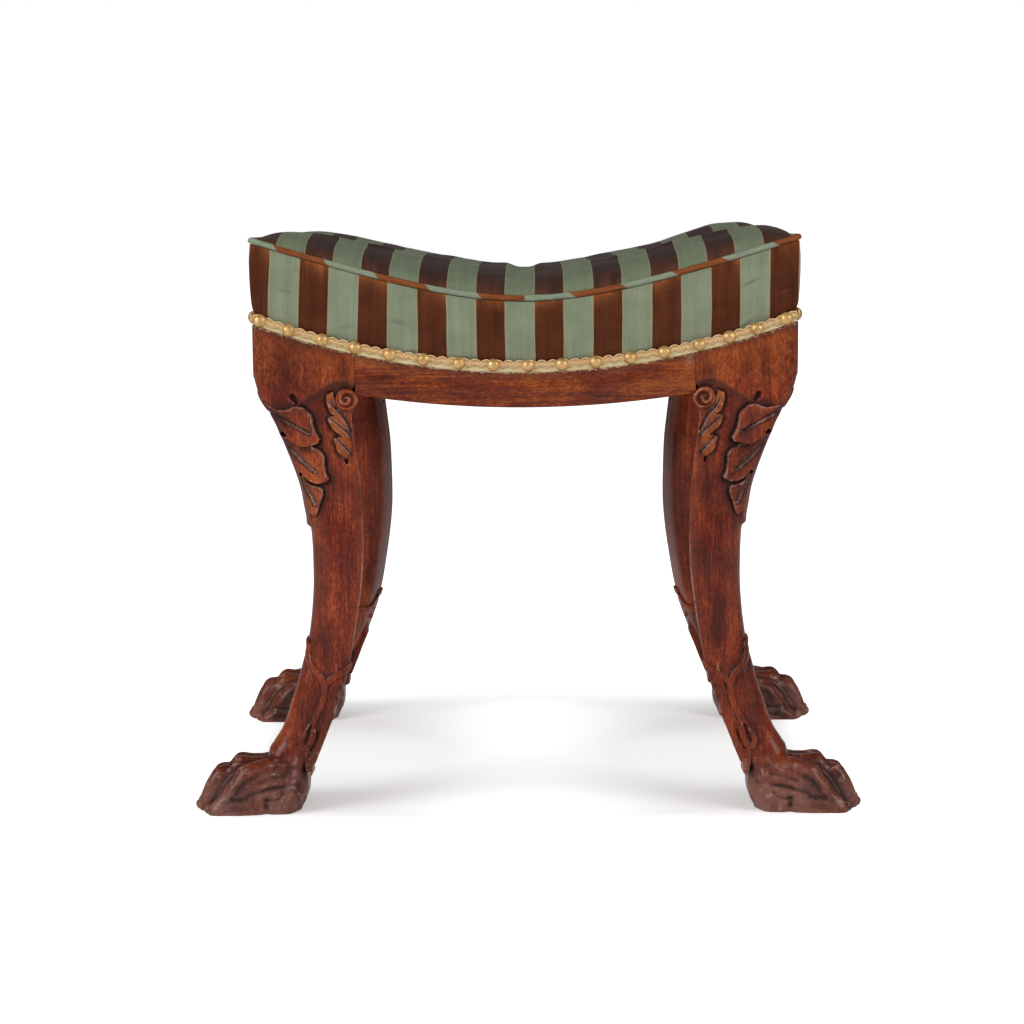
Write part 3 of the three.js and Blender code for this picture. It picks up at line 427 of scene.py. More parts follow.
along = np.clip((leg_x - 182) / 85, 0, 1.1).astype(float)
spread = 0.78 + 0.22 * smooth_share(along, 0, 0.75)
toe_half = np.interp(along, [0, 0.35, 0.6, 0.72, 0.86, 1], [8.4, 8.3, 9, 8, 8.9, 7.2])
toes = None
for side, side_view in (
    (-24.4, outer_toe), (24.4, outer_toe - (0, 4)), (-8.2, middle_toe), (8.2, middle_toe - (0, 1)),
):
    toe = paw_part(side_view, side * spread, toe_half, 6.8)
    toes = toe if toes is None else soft_least(toes, toe, 1.1)
pad_half = np.interp(along, [0, 0.12, 0.3, 0.36, 0.55, 0.8], [22.5, 25.6, 27.6, 27.4, 30.4, 26])
pad = paw_part(pad_side, np.zeros_like(leg_x), pad_half, 13)
paw = soft_least(toes, pad, 4.5)
px, py, pz = leg_x[:, None, None], np.abs(leg_y)[None, :, None], leg_z[None, None, low]
on_flank = smooth_share(py, 15, 22)


def from_run(points):
    return from_line(paw_x, paw_z, through(points))


for swelling, width, ridge in (
    (1.5, 4.2, [(199, 37), (211, 32), (224, 25)]), (1.2, 3.2, [(189, 28), (202, 26.6), (216, 22)]),
    (1.3, 4, [(214, 37), (227, 31), (237, 20)]), (1.6, 6, [(186, 12), (199, 9)]),
    (1.3, 4.6, [(216, 9), (232, 8), (248, 5)]), (1.2, 3.2, [(201, 16.5), (209, 15.8)]),
    (1.0, 4, [(184, 36), (190, 24)]),
):
    paw -= (swelling * hump(from_run(ridge), width))[:, None, :].astype(np.float32) * on_flank
cleft = 2.6 * hump(px - 210 - 0.05 * pz, 3.6) * (1 - smooth_share(pz, 5, 17))
paw += cleft * smooth_share(py, 8, 16)
for knuckle_x, knuckle_y, knuckle_z, size, swelling in (
    (233, 8.6, 41, 5.5, 1.4), (252, 8.6, 32, 4.6, 1.5), (230, 25, 37, 5, 1.6),
    (236, 27, 23, 7, 1.6), (221, 29, 25, 8, 1.2), (204, 27, 31, 8, 1.4), (192, 26, 15, 9, 1.2),
    (244, 28, 8, 6, 0.9), (205, 29, 15.5, 4, 1.6),
):
    bulge = ((px - knuckle_x) ** 2 + (py - knuckle_y) ** 2 + (pz - knuckle_z) ** 2) / size ** 2
    paw -= swelling * np.exp(-bulge)
for crease, depth, width in (
    ([(200, 41), (207, 36.6), (215, 33), (228, 26), (238, 14)], 0.9, 1.9),
    ([(185, 24), (196, 23), (208, 21), (224, 16.6)], 1.3, 1.7),
    ([(196, 31), (205, 29.6), (214, 26.8)], 0.8, 1.5), ([(226, 13.4), (238, 12.4), (249, 9)], 0.9, 1.6),
    ([(196.6, 17), (201, 13.2), (206, 11.8), (210, 13)], 1.6, 1.4),
    ([(190, 41), (194, 34), (193, 27)], 0.9, 2.0),
):
    cut = 0.8 * depth * hump(from_run(crease) / width, 1.3)
    paw += cut[:, None, :].astype(np.float32) * on_flank
for claw_x, claw_y, claw_z in ((265.5, 8.3, 4.5), (256.6, 24.6, 4)):
    claw = np.sqrt(((px - claw_x) / 1.2) ** 2 + (py - claw_y) ** 2 + ((pz - claw_z) / 1.3) ** 2) - 3.1
    paw = soft_least(paw, claw.astype(np.float32), 0.7)
leg[:, :, low] = soft_least(leg[:, :, low], paw, 3.5)

# Over the shank and the paw a carver's hand leaves soft, uneven planes
uneven = np.random.default_rng(3).uniform(-1, 1, (14, 8, 18))
for way, (places, cell) in enumerate(((leg_x, 12.0), (leg_y, 10.0), (leg_z[low], 5.0))):
    cells = (places - places[0]) / cell
    whole = np.minimum(np.floor(cells).astype(int), uneven.shape[way] - 2)
    share = smooth_share(cells - whole, 0, 1).reshape([-1 if w == way else 1 for w in range(3)])
    uneven = (
        np.take(uneven, whole, axis=way) * (1 - share) + np.take(uneven, whole + 1, axis=way) * share
    )
leg[:, :, low] += (0.3 * uneven * smooth_share(72 - leg_z[low], 0, 20)).astype(np.float32)

# Cuts: the floor, the dished top, the rebate for the cover, and the mortises of the two rails
gap = 0.3
rebate_depth = 4.3
mortise_end, mortise_half, mortise_middle_y = 162.3, 6.3, -10
side_mortise_x, side_mortise_end = 200, -3.3
side_rail_tall, side_rail_inner, tenon_step = 57, half_width - 30, 9


def cut_away(*sides):
    """Cuts a hollow in the leg, bounded by those distances, each below zero inside it."""
    hollow = sides[0]
    for side in sides[1:]:
        hollow = np.maximum(hollow, side)
    return np.maximum(leg, -hollow)


def from_span(value, low, high):
    return np.abs(value - (low + high) / 2) - (high - low) / 2


gx, gy, gz = leg_x[:, None, None], leg_y[None, :, None], leg_z[None, None]
top_here = rail_top(leg_x)[:, None, None]
rail_at_block, under_at_block = rail_top(block_inner), rail_under(block_inner)
side_tenon_low = rail_top(half_width) - side_rail_tall + tenon_step
side_tenon_high = rail_top(side_rail_inner) - tenon_step
leg = np.maximum(leg, -gz)
leg = np.maximum(leg, gz - top_here)
leg = cut_away(top_here - gimp_drop - gap - gz, gy + plank_half - rebate_depth)
leg = cut_away(float(gimp_under(half_width)) - gap - gz, half_width - rebate_depth - gx)
leg = cut_away(gx - block_inner, under_at_block - gap - gz)
leg = cut_away(gx - mortise_end, np.abs(gy - mortise_middle_y) - mortise_half,
               from_span(gz, under_at_block, rail_at_block) + tenon_step - gap)
leg = cut_away(np.abs(gx - side_mortise_x) - mortise_half, side_mortise_end - gy,
               from_span(gz, side_tenon_low, side_tenon_high) - gap)


def spread_out(field, cells):
    """The mean over a small cube, as running sums along each way in turn."""
    count = 2 * cells + 1
    for way in range(3):
        more = [(cells + 1, cells) if w == way else (0, 0) for w in range(3)]
        running = np.cumsum(np.pad(field, more, mode="edge"), axis=way, dtype=np.float64)
        upper = np.take(running, range(count, running.shape[way]), axis=way)
        lower = np.take(running, range(0, running.shape[way] - count), axis=way)
        field = ((upper - lower) / count).astype(np.float32)
    return field


# How far each place stands in a hollow or on an edge, for the dirt and painted shade in the hollows and
# the pale edges, partly wear and partly painted highlight
clipped = np.clip(leg, -6, 6)
fine_relief = spread_out(clipped, 2) - clipped
broad_relief = spread_out(clipped, 6) - clipped

solid = openvdb.FloatGrid()
solid.background = 3.0
solid.copyFromArray(np.ascontiguousarray(np.clip(leg / leg_cell, -3, 3), dtype=np.float32))
cell_points, cell_triangles, cell_quads = solid.convertToPolygons(isovalue=0.0, adaptivity=0.0)
leg_triangles_most = 184000


def make_piece(name, points, faces, finish=None):
    """A mesh object from points in millimetres and arrays of faces, with smooth shading."""
    mesh = bpy.data.meshes.new(name)
    faces = [np.asarray(rows, np.int32) for rows in faces if len(rows)]
    corners = np.concatenate([rows.ravel() for rows in faces])
    sizes = np.concatenate([np.full(len(rows), rows.shape[1]) for rows in faces])
    mesh.vertices.add(len(points))
    mesh.vertices.foreach_set("co", (np.asarray(points) * mm).astype(np.float32).ravel())
    mesh.loops.add(len(corners))
    mesh.loops.foreach_set("vertex_index", corners)
    mesh.polygons.add(len(sizes))
    mesh.polygons.foreach_set("loop_start", (np.cumsum(sizes) - sizes).astype(np.int32))
    mesh.polygons.foreach_set("use_smooth", np.ones(len(sizes), bool))
    mesh.update(calc_edges=True)
    piece = bpy.data.objects.new(name, mesh)
    bpy.context.scene.collection.objects.link(piece)
    if finish:
        mesh.materials.append(finish)
    return piece


def settle(piece):
    """Makes the result of a piece's modifiers its plain mesh."""
    evaluated = piece.evaluated_get(bpy.context.evaluated_depsgraph_get())
    finished = bpy.data.meshes.new_from_object(evaluated)
    piece.modifiers.clear()
    piece.data = finished
    return piece


def vertices_of(piece):
    places = np.empty(3 * len(piece.data.vertices), np.float32)
    piece.data.vertices.foreach_get("co", places)
    return places.reshape(-1, 3) / mm


def mark(piece, name, values):
    """Writes one number for each vertex, which the piece's finish reads."""
    layer = piece.data.attributes.new(name, "FLOAT", "POINT")
    layer.data.foreach_set("value", np.asarray(values, np.float32))


def faces_of(piece):
    piece.data.calc_loop_triangles()
    corners = np.empty(3 * len(piece.data.loop_triangles), np.int32)
    piece.data.loop_triangles.foreach_get("vertices", corners)
    return corners.reshape(-1, 3)


cell_origin = np.array([leg_x[0], leg_y[0], leg_z[0]])
whole_leg = make_piece(
    "whole_leg", cell_points * leg_cell + cell_origin, [cell_triangles, cell_quads]
)
thinner = whole_leg.modifiers.new("thinner", "DECIMATE")
thinner.ratio = min(1.0, leg_triangles_most / (2 * len(cell_quads) + len(cell_triangles)))
settle(whole_leg)
leg_points, leg_faces = vertices_of(whole_leg), faces_of(whole_leg)
first, second, third = (leg_points[leg_faces[:, k]] for k in range(3))
if np.einsum("ij,ij->", first, np.cross(second, third)) < 0:
    leg_faces = leg_faces[:, ::-1]
bpy.data.objects.remove(whole_leg)
nearest = np.round((leg_points - cell_origin) / leg_cell).astype(int)
nearest = np.clip(nearest, 0, np.array(leg.shape) - 1)
leg_hollow, leg_shade = (field[tuple(nearest.T)] for field in (fine_relief, broad_relief))
front_share = smooth_share(-leg_points[:, 1], 6, 12)
# The carving's painted light and shade, and the painted highlights of the carving and of the inner
# arris, which is also partly worn
leg_painted_light = np.where(leg_points[:, 2] > 225, tone[nearest[:, 0], nearest[:, 2]] * front_share, 0)
from_arris = leg_points[:, 0] - inner[nearest[:, 2]]
arris_highlight_and_wear = 1.5 * hump(from_arris, 1.7) * smooth_share(leg_hollow, 0.04, 0.2)
arris_highlight_and_wear = arris_highlight_and_wear * (leg_points[:, 1] < 0) * smooth_share(leg_points[:, 2], 112, 150)
arris_highlight_and_wear = arris_highlight_and_wear * (1 - smooth_share(leg_points[:, 2], 318, 326))
leg_highlight_and_wear = np.maximum(arris_highlight_and_wear, painted_glints[nearest[:, 0], nearest[:, 2]] * front_share)


# Finishes are trees of shader nodes. A Wire is one output of a node, and sums written with wires
# add the nodes that work them out. A colour is a wire too, or an sRGB hex text.
class Wire:
    def __init__(self, node, output=0):
        self.tree, self.socket = node.id_data, node.outputs[output]

    def __add__(self, other):
        return maths("ADD", self, other)

    def __sub__(self, other):
        return maths("SUBTRACT", self, other)

    def __mul__(self, other):
        return maths("MULTIPLY", self, other)

    def __abs__(self):
        return maths("ABSOLUTE", self)


def add_node(tree, kind, inputs=(), **settings):
    """Adds a node, with a value, a wire or a socket for each named input."""
    node = tree.nodes.new(kind)
    for key, value in settings.items():
        setattr(node, key, value)
    for place, source in dict(inputs).items():
        source = getattr(source, "socket", source)
        if isinstance(source, bpy.types.NodeSocket):
            tree.links.new(source, node.inputs[place])
        else:
            node.inputs[place].default_value = source
    return node


def tree_of(sources):
    return next(source.tree for source in sources if isinstance(source, Wire))


def maths(operation, *values):
    tree = tree_of(values)
    return Wire(add_node(tree, "ShaderNodeMath", dict(enumerate(values)), operation=operation))


def most(*values):
    return maths("MAXIMUM", *values)


def colour(text):
    """A linear colour from a sRGB hex text."""
    parts = [int(text[i:i + 2], 16) / 255 for i in (1, 3, 5)]
    return (*[p / 12.92 if p <= 0.04045 else ((p + 0.055) / 1.055) ** 2.4 for p in parts], 1.0)


def blend(low, high, share):
    low_end, high_end = (colour(end) if isinstance(end, str) else end for end in (low, high))
    inputs = {0: share, 6: low_end, 7: high_end}
    return Wire(add_node(tree_of((share, low, high)), "ShaderNodeMix", inputs, data_type="RGBA"), 2)


def ranged(value, low, high, new_low=0.0, new_high=1.0, smooth=False):
    """The value's place from low to high, held within them, set between new_low and new_high."""
    inputs = {
        "Value": value, "From Min": low, "From Max": high, "To Min": new_low, "To Max": new_high,
    }
    how = "SMOOTHSTEP" if smooth else "LINEAR"
    return Wire(add_node(value.tree, "ShaderNodeMapRange", inputs, interpolation_type=how))


def mottle(place, stretch, detail, roughness):
    """Noise over a place that is stretched by that many cells to the metre each way."""
    mapped = Wire(add_node(place.tree, "ShaderNodeMapping", {"Vector": place, "Scale": stretch}))
    inputs = {"Vector": mapped, "Scale": 1.0, "Detail": detail, "Roughness": roughness}
    return Wire(add_node(place.tree, "ShaderNodeTexNoise", inputs), "Fac")


def axes(place):
    node = add_node(place.tree, "ShaderNodeSeparateXYZ", {0: place})
    return [Wire(node, way) for way in range(3)]


def marked(place, name):
    """The numbers that mark() wrote on a piece under that name."""
    return Wire(add_node(place.tree, "ShaderNodeAttribute", attribute_name=name), "Fac")


def new_finish(name, constants, chart=None):
    """A finish with those constants, and the place on the object or on that chart, in metres."""
    finish = bpy.data.materials.new(name)
    finish.use_nodes = True
    shader = finish.node_tree.nodes["Principled BSDF"]
    for socket, value in constants.items():
        shader.inputs[socket].default_value = value
    if chart:
        return finish, Wire(add_node(finish.node_tree, "ShaderNodeUVMap", uv_map=chart))
    return finish, Wire(add_node(finish.node_tree, "ShaderNodeTexCoord"), "Object")


def wire_up(finish, base, roughness, bump_height, bump_depth, strength=1.0):
    tree = finish.node_tree
    inputs = {"Height": bump_height, "Distance": bump_depth, "Strength": strength}
    bumps = Wire(add_node(tree, "ShaderNodeBump", inputs))
    for socket, wire in (("Base Color", base), ("Roughness", roughness), ("Normal", bumps)):
        tree.links.new(wire.socket, tree.nodes["Principled BSDF"].inputs[socket])


# How fast the dish rises along the rail, for the line under the braid, per metre squared
dish_rate = (float(rail_top(half_width)) - top_middle) * mm / (half_width * mm) ** 2


def mahogany(name, along, dark, middle, light, carved=False):
    """Polished mahogany with its grain along X, Y or Z: figure, fibre, pores, chips, painted light and
    shade, and pale edges partly worn and partly painted highlight.
    """
    finish, place = new_finish(name, {
        "Coat Weight": 0.16, "Coat Roughness": 0.14, "Coat IOR": 1.5, "Specular IOR Level": 0.2,
    })
    x, _, z = axes(place)

    def grain(cells_across, cells_along, detail, roughness):
        stretch = [cells_along if axis == along else cells_across for axis in "XYZ"]
        return mottle(place, stretch, detail, roughness)

    figure = grain(26, 5, 4.0, 0.6)
    patches = grain(44, 26, 3.0, 0.6)
    fibre = grain(620, 16, 3.0, 0.65)
    flecks = grain(760, 300, 3.0, 0.75)
    tone = fibre * 0.5 + figure * 0.75 + patches * 0.6 + flecks * 0.6 - 0.72
    base = blend(dark, middle, ranged(tone, 0.36, 0.6))
    base = blend(base, light, ranged(tone, 0.54, 0.78))
    pore = ranged(grain(1300, 95, 2.0, 0.6), 0.58, 0.68)
    base = blend(base, "#220a06", pore * 0.6)
    specks = ranged(grain(420, 300, 2.0, 0.7), 0.66, 0.72) * ranged(patches, 0.42, 0.6)
    base = blend(base, "#1d0a07", specks * 0.75)
    roughness = ranged(patches, 0.3, 0.7, 0.27, 0.42)
    if carved:
        hollow, shade, carving_light_and_shade, arris = (
            marked(place, name) for name in ("hollow", "shade", "tone", "painted_glints")
        )
        patchiness = mottle(place, (240, 240, 240), 3.0, 0.7)
        # Amber wood shows through the red polish on the block, but for its dark outer side
        amber = ranged(z, 0.335, 0.362, smooth=True) * ranged(figure, 0.36, 0.56, 0.35, 1.0)
        amber = amber * ranged(flecks, 0.38, 0.58, 0.2, 1.0) * ranged(patches, 0.34, 0.56, 0.25, 1.0)
        base = blend(base, "#a85c20", amber * 0.62)
        outer_side = ranged(abs(x), 0.2035, 0.2135, smooth=True) * ranged(z, 0.32, 0.345)
        outer_side = outer_side * ranged(flecks, 0.36, 0.62, 1.0, 0.3)
        base = blend(base, "#3c100b", outer_side * 0.95)
        # Painted light warms the carving where it stands proud and where its lobes are lit, and painted
        # shade darkens its roots
        base = blend(base, "#96481c", ranged(shade, 0.05, 0.5) * ranged(patchiness, 0.3, 0.62) * 0.3)
        base = blend(base, "#b3601f", ranged(carving_light_and_shade, 0.05, 0.9) * ranged(patchiness, 0.25, 0.6, 0.35, 0.9))
        base = blend(base, "#35100c", ranged(carving_light_and_shade, -0.1, -1.0, 0.0, 0.86))
        # The paws are darker and glossier, with a dull film low down and pale scuffs
        on_paw = ranged(z, 0.066, 0.04, smooth=True)
        base = blend(base, "#40190f", on_paw * ranged(flecks, 0.4, 0.6, 0.1, 0.62))
        film = ranged(z, 0.05, 0.012, smooth=True) * ranged(patches, 0.32, 0.62, 0.05, 0.7)
        base = blend(base, "#8a6258", film)
        scuffs = ranged(mottle(place, (130, 130, 170), 6.0, 0.8), 0.53, 0.66, 0.0, 0.75)
        base = blend(base, "#b08f86", on_paw * scuffs * ranged(shade, -0.15, 0.35, 0.15, 1.0))
        # Dirt and painted shade darken the hollows, and the edges are pale, partly worn and partly
        # painted highlight
        dirt_and_painted_shade = most(ranged(hollow, -0.14, -0.7), ranged(shade, -0.4, -1.8))
        dirt_and_painted_shade = most(dirt_and_painted_shade, ranged(shade, -0.1, -1.0) * on_paw)
        base = blend(base, "#1a0906", dirt_and_painted_shade * 0.85)
        edge = ranged(hollow, 0.34, 0.7) * ranged(patchiness, 0.5, 0.62)
        highlight_and_wear = ranged(arris, 0.1, 0.9) * ranged(patchiness, 0.35, 0.55, 0.2, 1.0)
        highlight_and_wear = highlight_and_wear * ranged(patches, 0.36, 0.54, 0.25, 1.0)
        base = blend(base, "#c39f8d", most(edge * 0.5, highlight_and_wear * 0.8))
        roughness = roughness + on_paw * -0.05 + dirt_and_painted_shade * 0.15
    # Under the braid a painted shade darkens the wood, and the polish is chipped to pale wood and glue
    # in a broken line
    below_braid = x * x * dish_rate + (top_middle - gimp_drop) * mm - z
    painted_shade_under_braid = ranged(below_braid, 0.008, 0.0005) * ranged(patches, 0.32, 0.6, 0.2, 0.9)
    base = blend(base, "#34100b", painted_shade_under_braid * 0.8)
    flakes = mottle(place, (300, 300, 900), 4.0, 0.7)
    chips = ranged(flakes + ranged(below_braid, -0.0002, 0.0035, 0.2, -0.22), 0.57, 0.62)
    base = blend(base, "#c9ad96", chips * maths("LESS_THAN", below_braid, 0.005) * 0.8)
    wire_up(finish, base, roughness, fibre * 0.4 + pore * -0.6, 0.00012, 0.6)
    return finish


leg_finish = mahogany("leg_mahogany", "Z", "#46140c", "#842f17", "#ad5624", carved=True)
turn_over = leg_faces[:, ::-1]
for end, end_sign in (("front", 1), ("rear", -1)):
    for side, side_sign in (("right", 1), ("left", -1)):
        placed = leg_points * (side_sign, end_sign, 1) + (0, -leg_middle_y * end_sign, 0)
        faces = leg_faces if side_sign * end_sign > 0 else turn_over
        carved_leg = make_piece(f"carved_leg_{end}_{side}", placed, [faces], leg_finish)
        mark(carved_leg, "hollow", leg_hollow)
        mark(carved_leg, "shade", leg_shade)
        mark(carved_leg, "tone", leg_painted_light)
        mark(carved_leg, "painted_glints", leg_highlight_and_wear)
        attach(carved_leg, "root")
        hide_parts(f"leg_{end}_{side}")

# Seat rails
# Four mahogany rails, tenoned into the blocks of the legs. The front and rear ones are sawn to the
# dish of the seat above and arched below. Their arrises are eased and the show faces polished.
ease = 0.7 * mm


def sawn_copy(name, node, finish, way=0, shoulder_at=0.0):
    """A CAD node's shape with whole flat faces and eased arrises, its joint drawn up tight."""
    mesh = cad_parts[node].data.copy()
    mesh.materials.clear()
    mesh.materials.append(finish)
    work = bmesh.new()
    work.from_mesh(mesh)
    bmesh.ops.remove_doubles(work, verts=work.verts, dist=0.00001)
    bmesh.ops.dissolve_limit(work, angle_limit=math.radians(0.2), verts=work.verts, edges=work.edges)
    in_joint = {
        v for v in work.verts
        if shoulder_at and abs(abs(v.co[way]) - (shoulder_at - gap) * mm) < 0.0002
    }
    for vertex in in_joint:
        vertex.co[way] = math.copysign((shoulder_at - 0.04) * mm, vertex.co[way])
    eased = work.edges.layers.float.new("bevel_weight_edge")
    for edge in work.edges:
        crisp = len(edge.link_faces) == 2 and edge.calc_face_angle() > math.radians(40)
        edge[eased] = 1.0 if crisp and not set(edge.verts) <= in_joint else 0.0
    work.to_mesh(mesh)
    work.free()
    piece = bpy.data.objects.new(name, mesh)
    bpy.context.scene.collection.objects.link(piece)
    bevel = piece.modifiers.new("eased arris", "BEVEL")
    bevel.width = ease
    bevel.segments = 2
    bevel.limit_method = "WEIGHT"
    settle(piece)
    piece.data.shade_smooth()
    piece.data.set_sharp_from_angle(angle=math.radians(50))
    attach(piece, "root")
    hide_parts(node)
    return piece


for sides, name, grain, way, shoulder_at in (
    (("front", "rear"), "rail_mahogany_across", "X", 0, block_inner),
    (("right", "left"), "rail_mahogany_back", "Y", 1, half_depth - 2 * plank_half),
):
    rail_finish = mahogany(name, grain, "#4a160a", "#84360f", "#a95c1d")
    for side in sides:
        rail = sawn_copy(f"sawn_rail_{side}", f"rail_{side}", rail_finish, way, shoulder_at)

# Corner blocks
# Raw beech blocks, glued into the corners behind the legs. Sawn, never polished, and browned.
beech, place = new_finish("raw_beech", {"Specular IOR Level": 0.25})
fibre = mottle(place, (700, 700, 30), 3.0, 0.6)
fleck = mottle(place, (260, 260, 60), 2.0, 0.5)
base = blend(blend("#6f4a2a", "#a87a4c", fibre), "#553318", ranged(fleck, 0.58, 0.66))
wire_up(beech, base, ranged(fleck, 0.3, 0.7, 0.7, 0.85), fibre, 0.0002)
for end in ("front", "rear"):
    for side in ("right", "left"):
        block = sawn_copy(f"glued_block_{end}_{side}", f"corner_block_{end}_{side}", beech)

# Webbing
# Jute webbing, 48 mm wide, strained over the rails and woven: five straps from front to back and
# three across. Each end is turned over and held by a staggered row of five tacks.
strap_half, strap_thick, strap_over_rail = 24, 1.8, 0.3
tacked_x, tacked_y = half_width - 7.3, half_depth - 7.3
strap_places = [-104, -52, 0, 52, 104]
cross_places = [-95, 0, 95]


def skin(name, outer_face, inner_face, finish, chart=None):
    """A closed sheet between two faces, each a grid of points, with a chart of the cloth as UV."""
    rows, cols = outer_face.shape[:2]
    points = np.concatenate([outer_face.reshape(-1, 3), inner_face.reshape(-1, 3)])
    count = rows * cols
    at = np.arange(count).reshape(rows, cols)
    front = np.stack([at[:-1, :-1], at[:-1, 1:], at[1:, 1:], at[1:, :-1]], -1).reshape(-1, 4)
    ring = np.concatenate([at[0], at[1:, -1], at[-1, -2::-1], at[-2::-1, 0]])
    rim = np.stack([ring[1:], ring[:-1], ring[:-1] + count, ring[1:] + count], -1)
    faces = np.concatenate([front, front[:, ::-1] + count, rim])
    corner = points[faces]
    volume = sum(
        np.einsum("ij,ij->", corner[:, 0], np.cross(corner[:, k], corner[:, k + 1])) for k in (1, 2)
    )
    if volume < 0:
        faces = faces[:, ::-1]
    piece = make_piece(name, points, [faces], finish)
    if chart is not None:
        both = np.concatenate([chart.reshape(-1, 2), chart.reshape(-1, 2)])
        layer = piece.data.uv_layers.new(name="cloth")
        layer.data.foreach_set("uv", (both[faces.ravel()] * mm).astype(np.float32).ravel())
    piece.data.set_sharp_from_angle(angle=math.radians(60))
    return piece


def woven(place, warp_pitch, weft_pitch):
    """Height of a plain weave, from threads that go over and under each other, 0 to 1."""
    across, along, _ = axes(place)
    warp = maths("SINE", across * (math.pi / warp_pitch))
    weft = maths("SINE", along * (math.pi / weft_pitch))
    return warp * weft * 0.5 + 0.5


jute, place = new_finish("jute_webbing", {"Specular IOR Level": 0.15}, "cloth")
across, along, _ = axes(place)
twill = maths("SINE", (across + along) * (2 * math.pi / 0.0022))
warp = maths("SINE", across * (2 * math.pi / 0.0012))
hairs = mottle(place, (900, 90, 1), 3.0, 0.6)
base = blend("#76592f", "#b8975f", twill * 0.3 + hairs)
stripe = maths("LESS_THAN", abs(abs(across) - 0.0185), 0.0012)
base = blend(base, "#3c2416", stripe * 0.7)
wire_up(jute, base, ranged(hairs, 0.3, 0.7, 0.8, 0.95), twill + warp, 0.0003)


def strap(name, node, middle, path, across_is_x):
    """A strap along its path of (place along, height over the rail's top), from end to end."""
    path = np.array(path, float)
    offsets, place_along = np.meshgrid(np.linspace(-strap_half, strap_half, 13), path[:, 0])
    x, y = (middle + offsets, place_along) if across_is_x else (place_along, middle + offsets)
    z = rail_top(np.abs(x)) + path[:, 1:]
    run = np.concatenate([[0], np.cumsum(np.hypot(*np.diff(path, axis=0).T))])
    chart = np.stack(np.meshgrid(offsets[0], run), -1)
    piece = skin(name, np.stack([x, y, z + strap_thick], -1), np.stack([x, y, z], -1), jute, chart)
    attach(piece, "root")
    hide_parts(node)


for number, strap_middle in enumerate(strap_places, 1):
    path = [(y, strap_over_rail) for y in np.linspace(-tacked_y, tacked_y, 60)]
    strap(f"strap_along_{number}", f"webbing_along_{number}", strap_middle, path, True)
over, under = strap_thick + 0.6, -strap_thick
for number, strap_middle in enumerate(cross_places):
    stations = [(-tacked_x, strap_over_rail), (-185, strap_over_rail)]
    for i, middle in enumerate(strap_places):
        level = over if (i + number) % 2 else under
        stations += [(middle + edge, level) for edge in (-strap_half, 0, strap_half)]
    stations = np.array(stations + [(185, strap_over_rail), (tacked_x, strap_over_rail)])
    fine = np.linspace(-tacked_x, tacked_x, 150)
    path = np.stack([fine, np.interp(fine, stations[:, 0], stations[:, 1])], -1)
    strap(f"strap_across_{number + 1}", f"webbing_across_{number + 1}", strap_middle, path, False)

# Hessian
# One sheet of coarse brown cloth, strained over the webbing, which carries the stuffing.
hessian_low, hessian_thick = 4.5, 1.0
hessian_finish, place = new_finish("hessian_cloth", {"Specular IOR Level": 0.15}, "cloth")
weave = woven(place, 0.0018, 0.0018)
slubs = mottle(place, (500, 60, 1), 3.0, 0.6)
base = blend("#3d2b17", "#a8875a", weave * slubs)
wire_up(hessian_finish, base, ranged(slubs, 0.3, 0.7, 0.85, 0.98), weave, 0.0005)
columns = 110
x, y = np.meshgrid(np.linspace(-tacked_x, tacked_x, columns), np.linspace(-tacked_y, tacked_y, 90))
z = rail_top(np.abs(x)) + hessian_low
low_face, top_face = np.stack([x, y, z], -1), np.stack([x, y, z + hessian_thick], -1)
hessian = skin("hessian_sheet", top_face, low_face, hessian_finish, np.stack([x, y], -1))
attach(hessian, "root")
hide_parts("hessian")
half_x, half_z = x[0, columns // 2:], z[0, columns // 2:]
dish_length = 2 * float(np.sum(np.hypot(np.diff(half_x), np.diff(half_z))) + half_x[0])

# Stuffing
# Curled horsehair on stitched edge rolls, under a tight calico. It carries the cover and the
# boxing, so its sides follow them, and a worn hollow lies between the front and the back roll.
welt_radius = 2.35
welt_x, welt_y = half_width - 0.5, half_depth - 0.5
welt_middle, welt_rise, welt_bend = 412, 46.5, 100


def welt_line(x):
    bend = np.hypot(np.minimum(np.abs(x), half_width), welt_bend) - welt_bend
    return welt_middle + welt_rise * bend / (math.hypot(half_width, welt_bend) - welt_bend)


def seat_top(across, along, half_x, half_y):
    """Height of the seat. across and along run from -1 to 1 over a plan with those half sizes."""
    x, y = across * half_x, along * half_y
    valley = 7 * smooth_share(np.abs(across), 0.35, 0.75) * np.exp(-((y / 65) ** 2))
    to_right = smooth_share(across, -0.3, 0.3)
    steepness = 4.6 + 3.2 * to_right
    rise = np.sqrt(np.maximum((1 - np.abs(across) ** steepness) * (1 - along ** 4), 0))
    fuller = 4.5 * smooth_share(x, 115, 175) * smooth_share(y, -170, 90)
    dent = 3.0 * np.exp(-(((x + 1.5) / 11) ** 4))
    return welt_line(x) + (23 - valley + fuller - dent) * rise


boxing_shape = through([(0, 0), (0.1, 0.1), (0.2, 0.6), (0.45, 0.9), (0.75, 1), (1, 0.74)])
boxing_swell, boxing_inset = 3.6, 2.8


def boxing_face(up):
    return boxing_swell * np.interp(up, boxing_shape[:, 0], boxing_shape[:, 1]) - boxing_inset


def boxing_foot(x):
    return gimp_under(x) + 2.4


def boxing_head(x):
    return welt_line(x) - 1.1 * welt_radius - 0.3


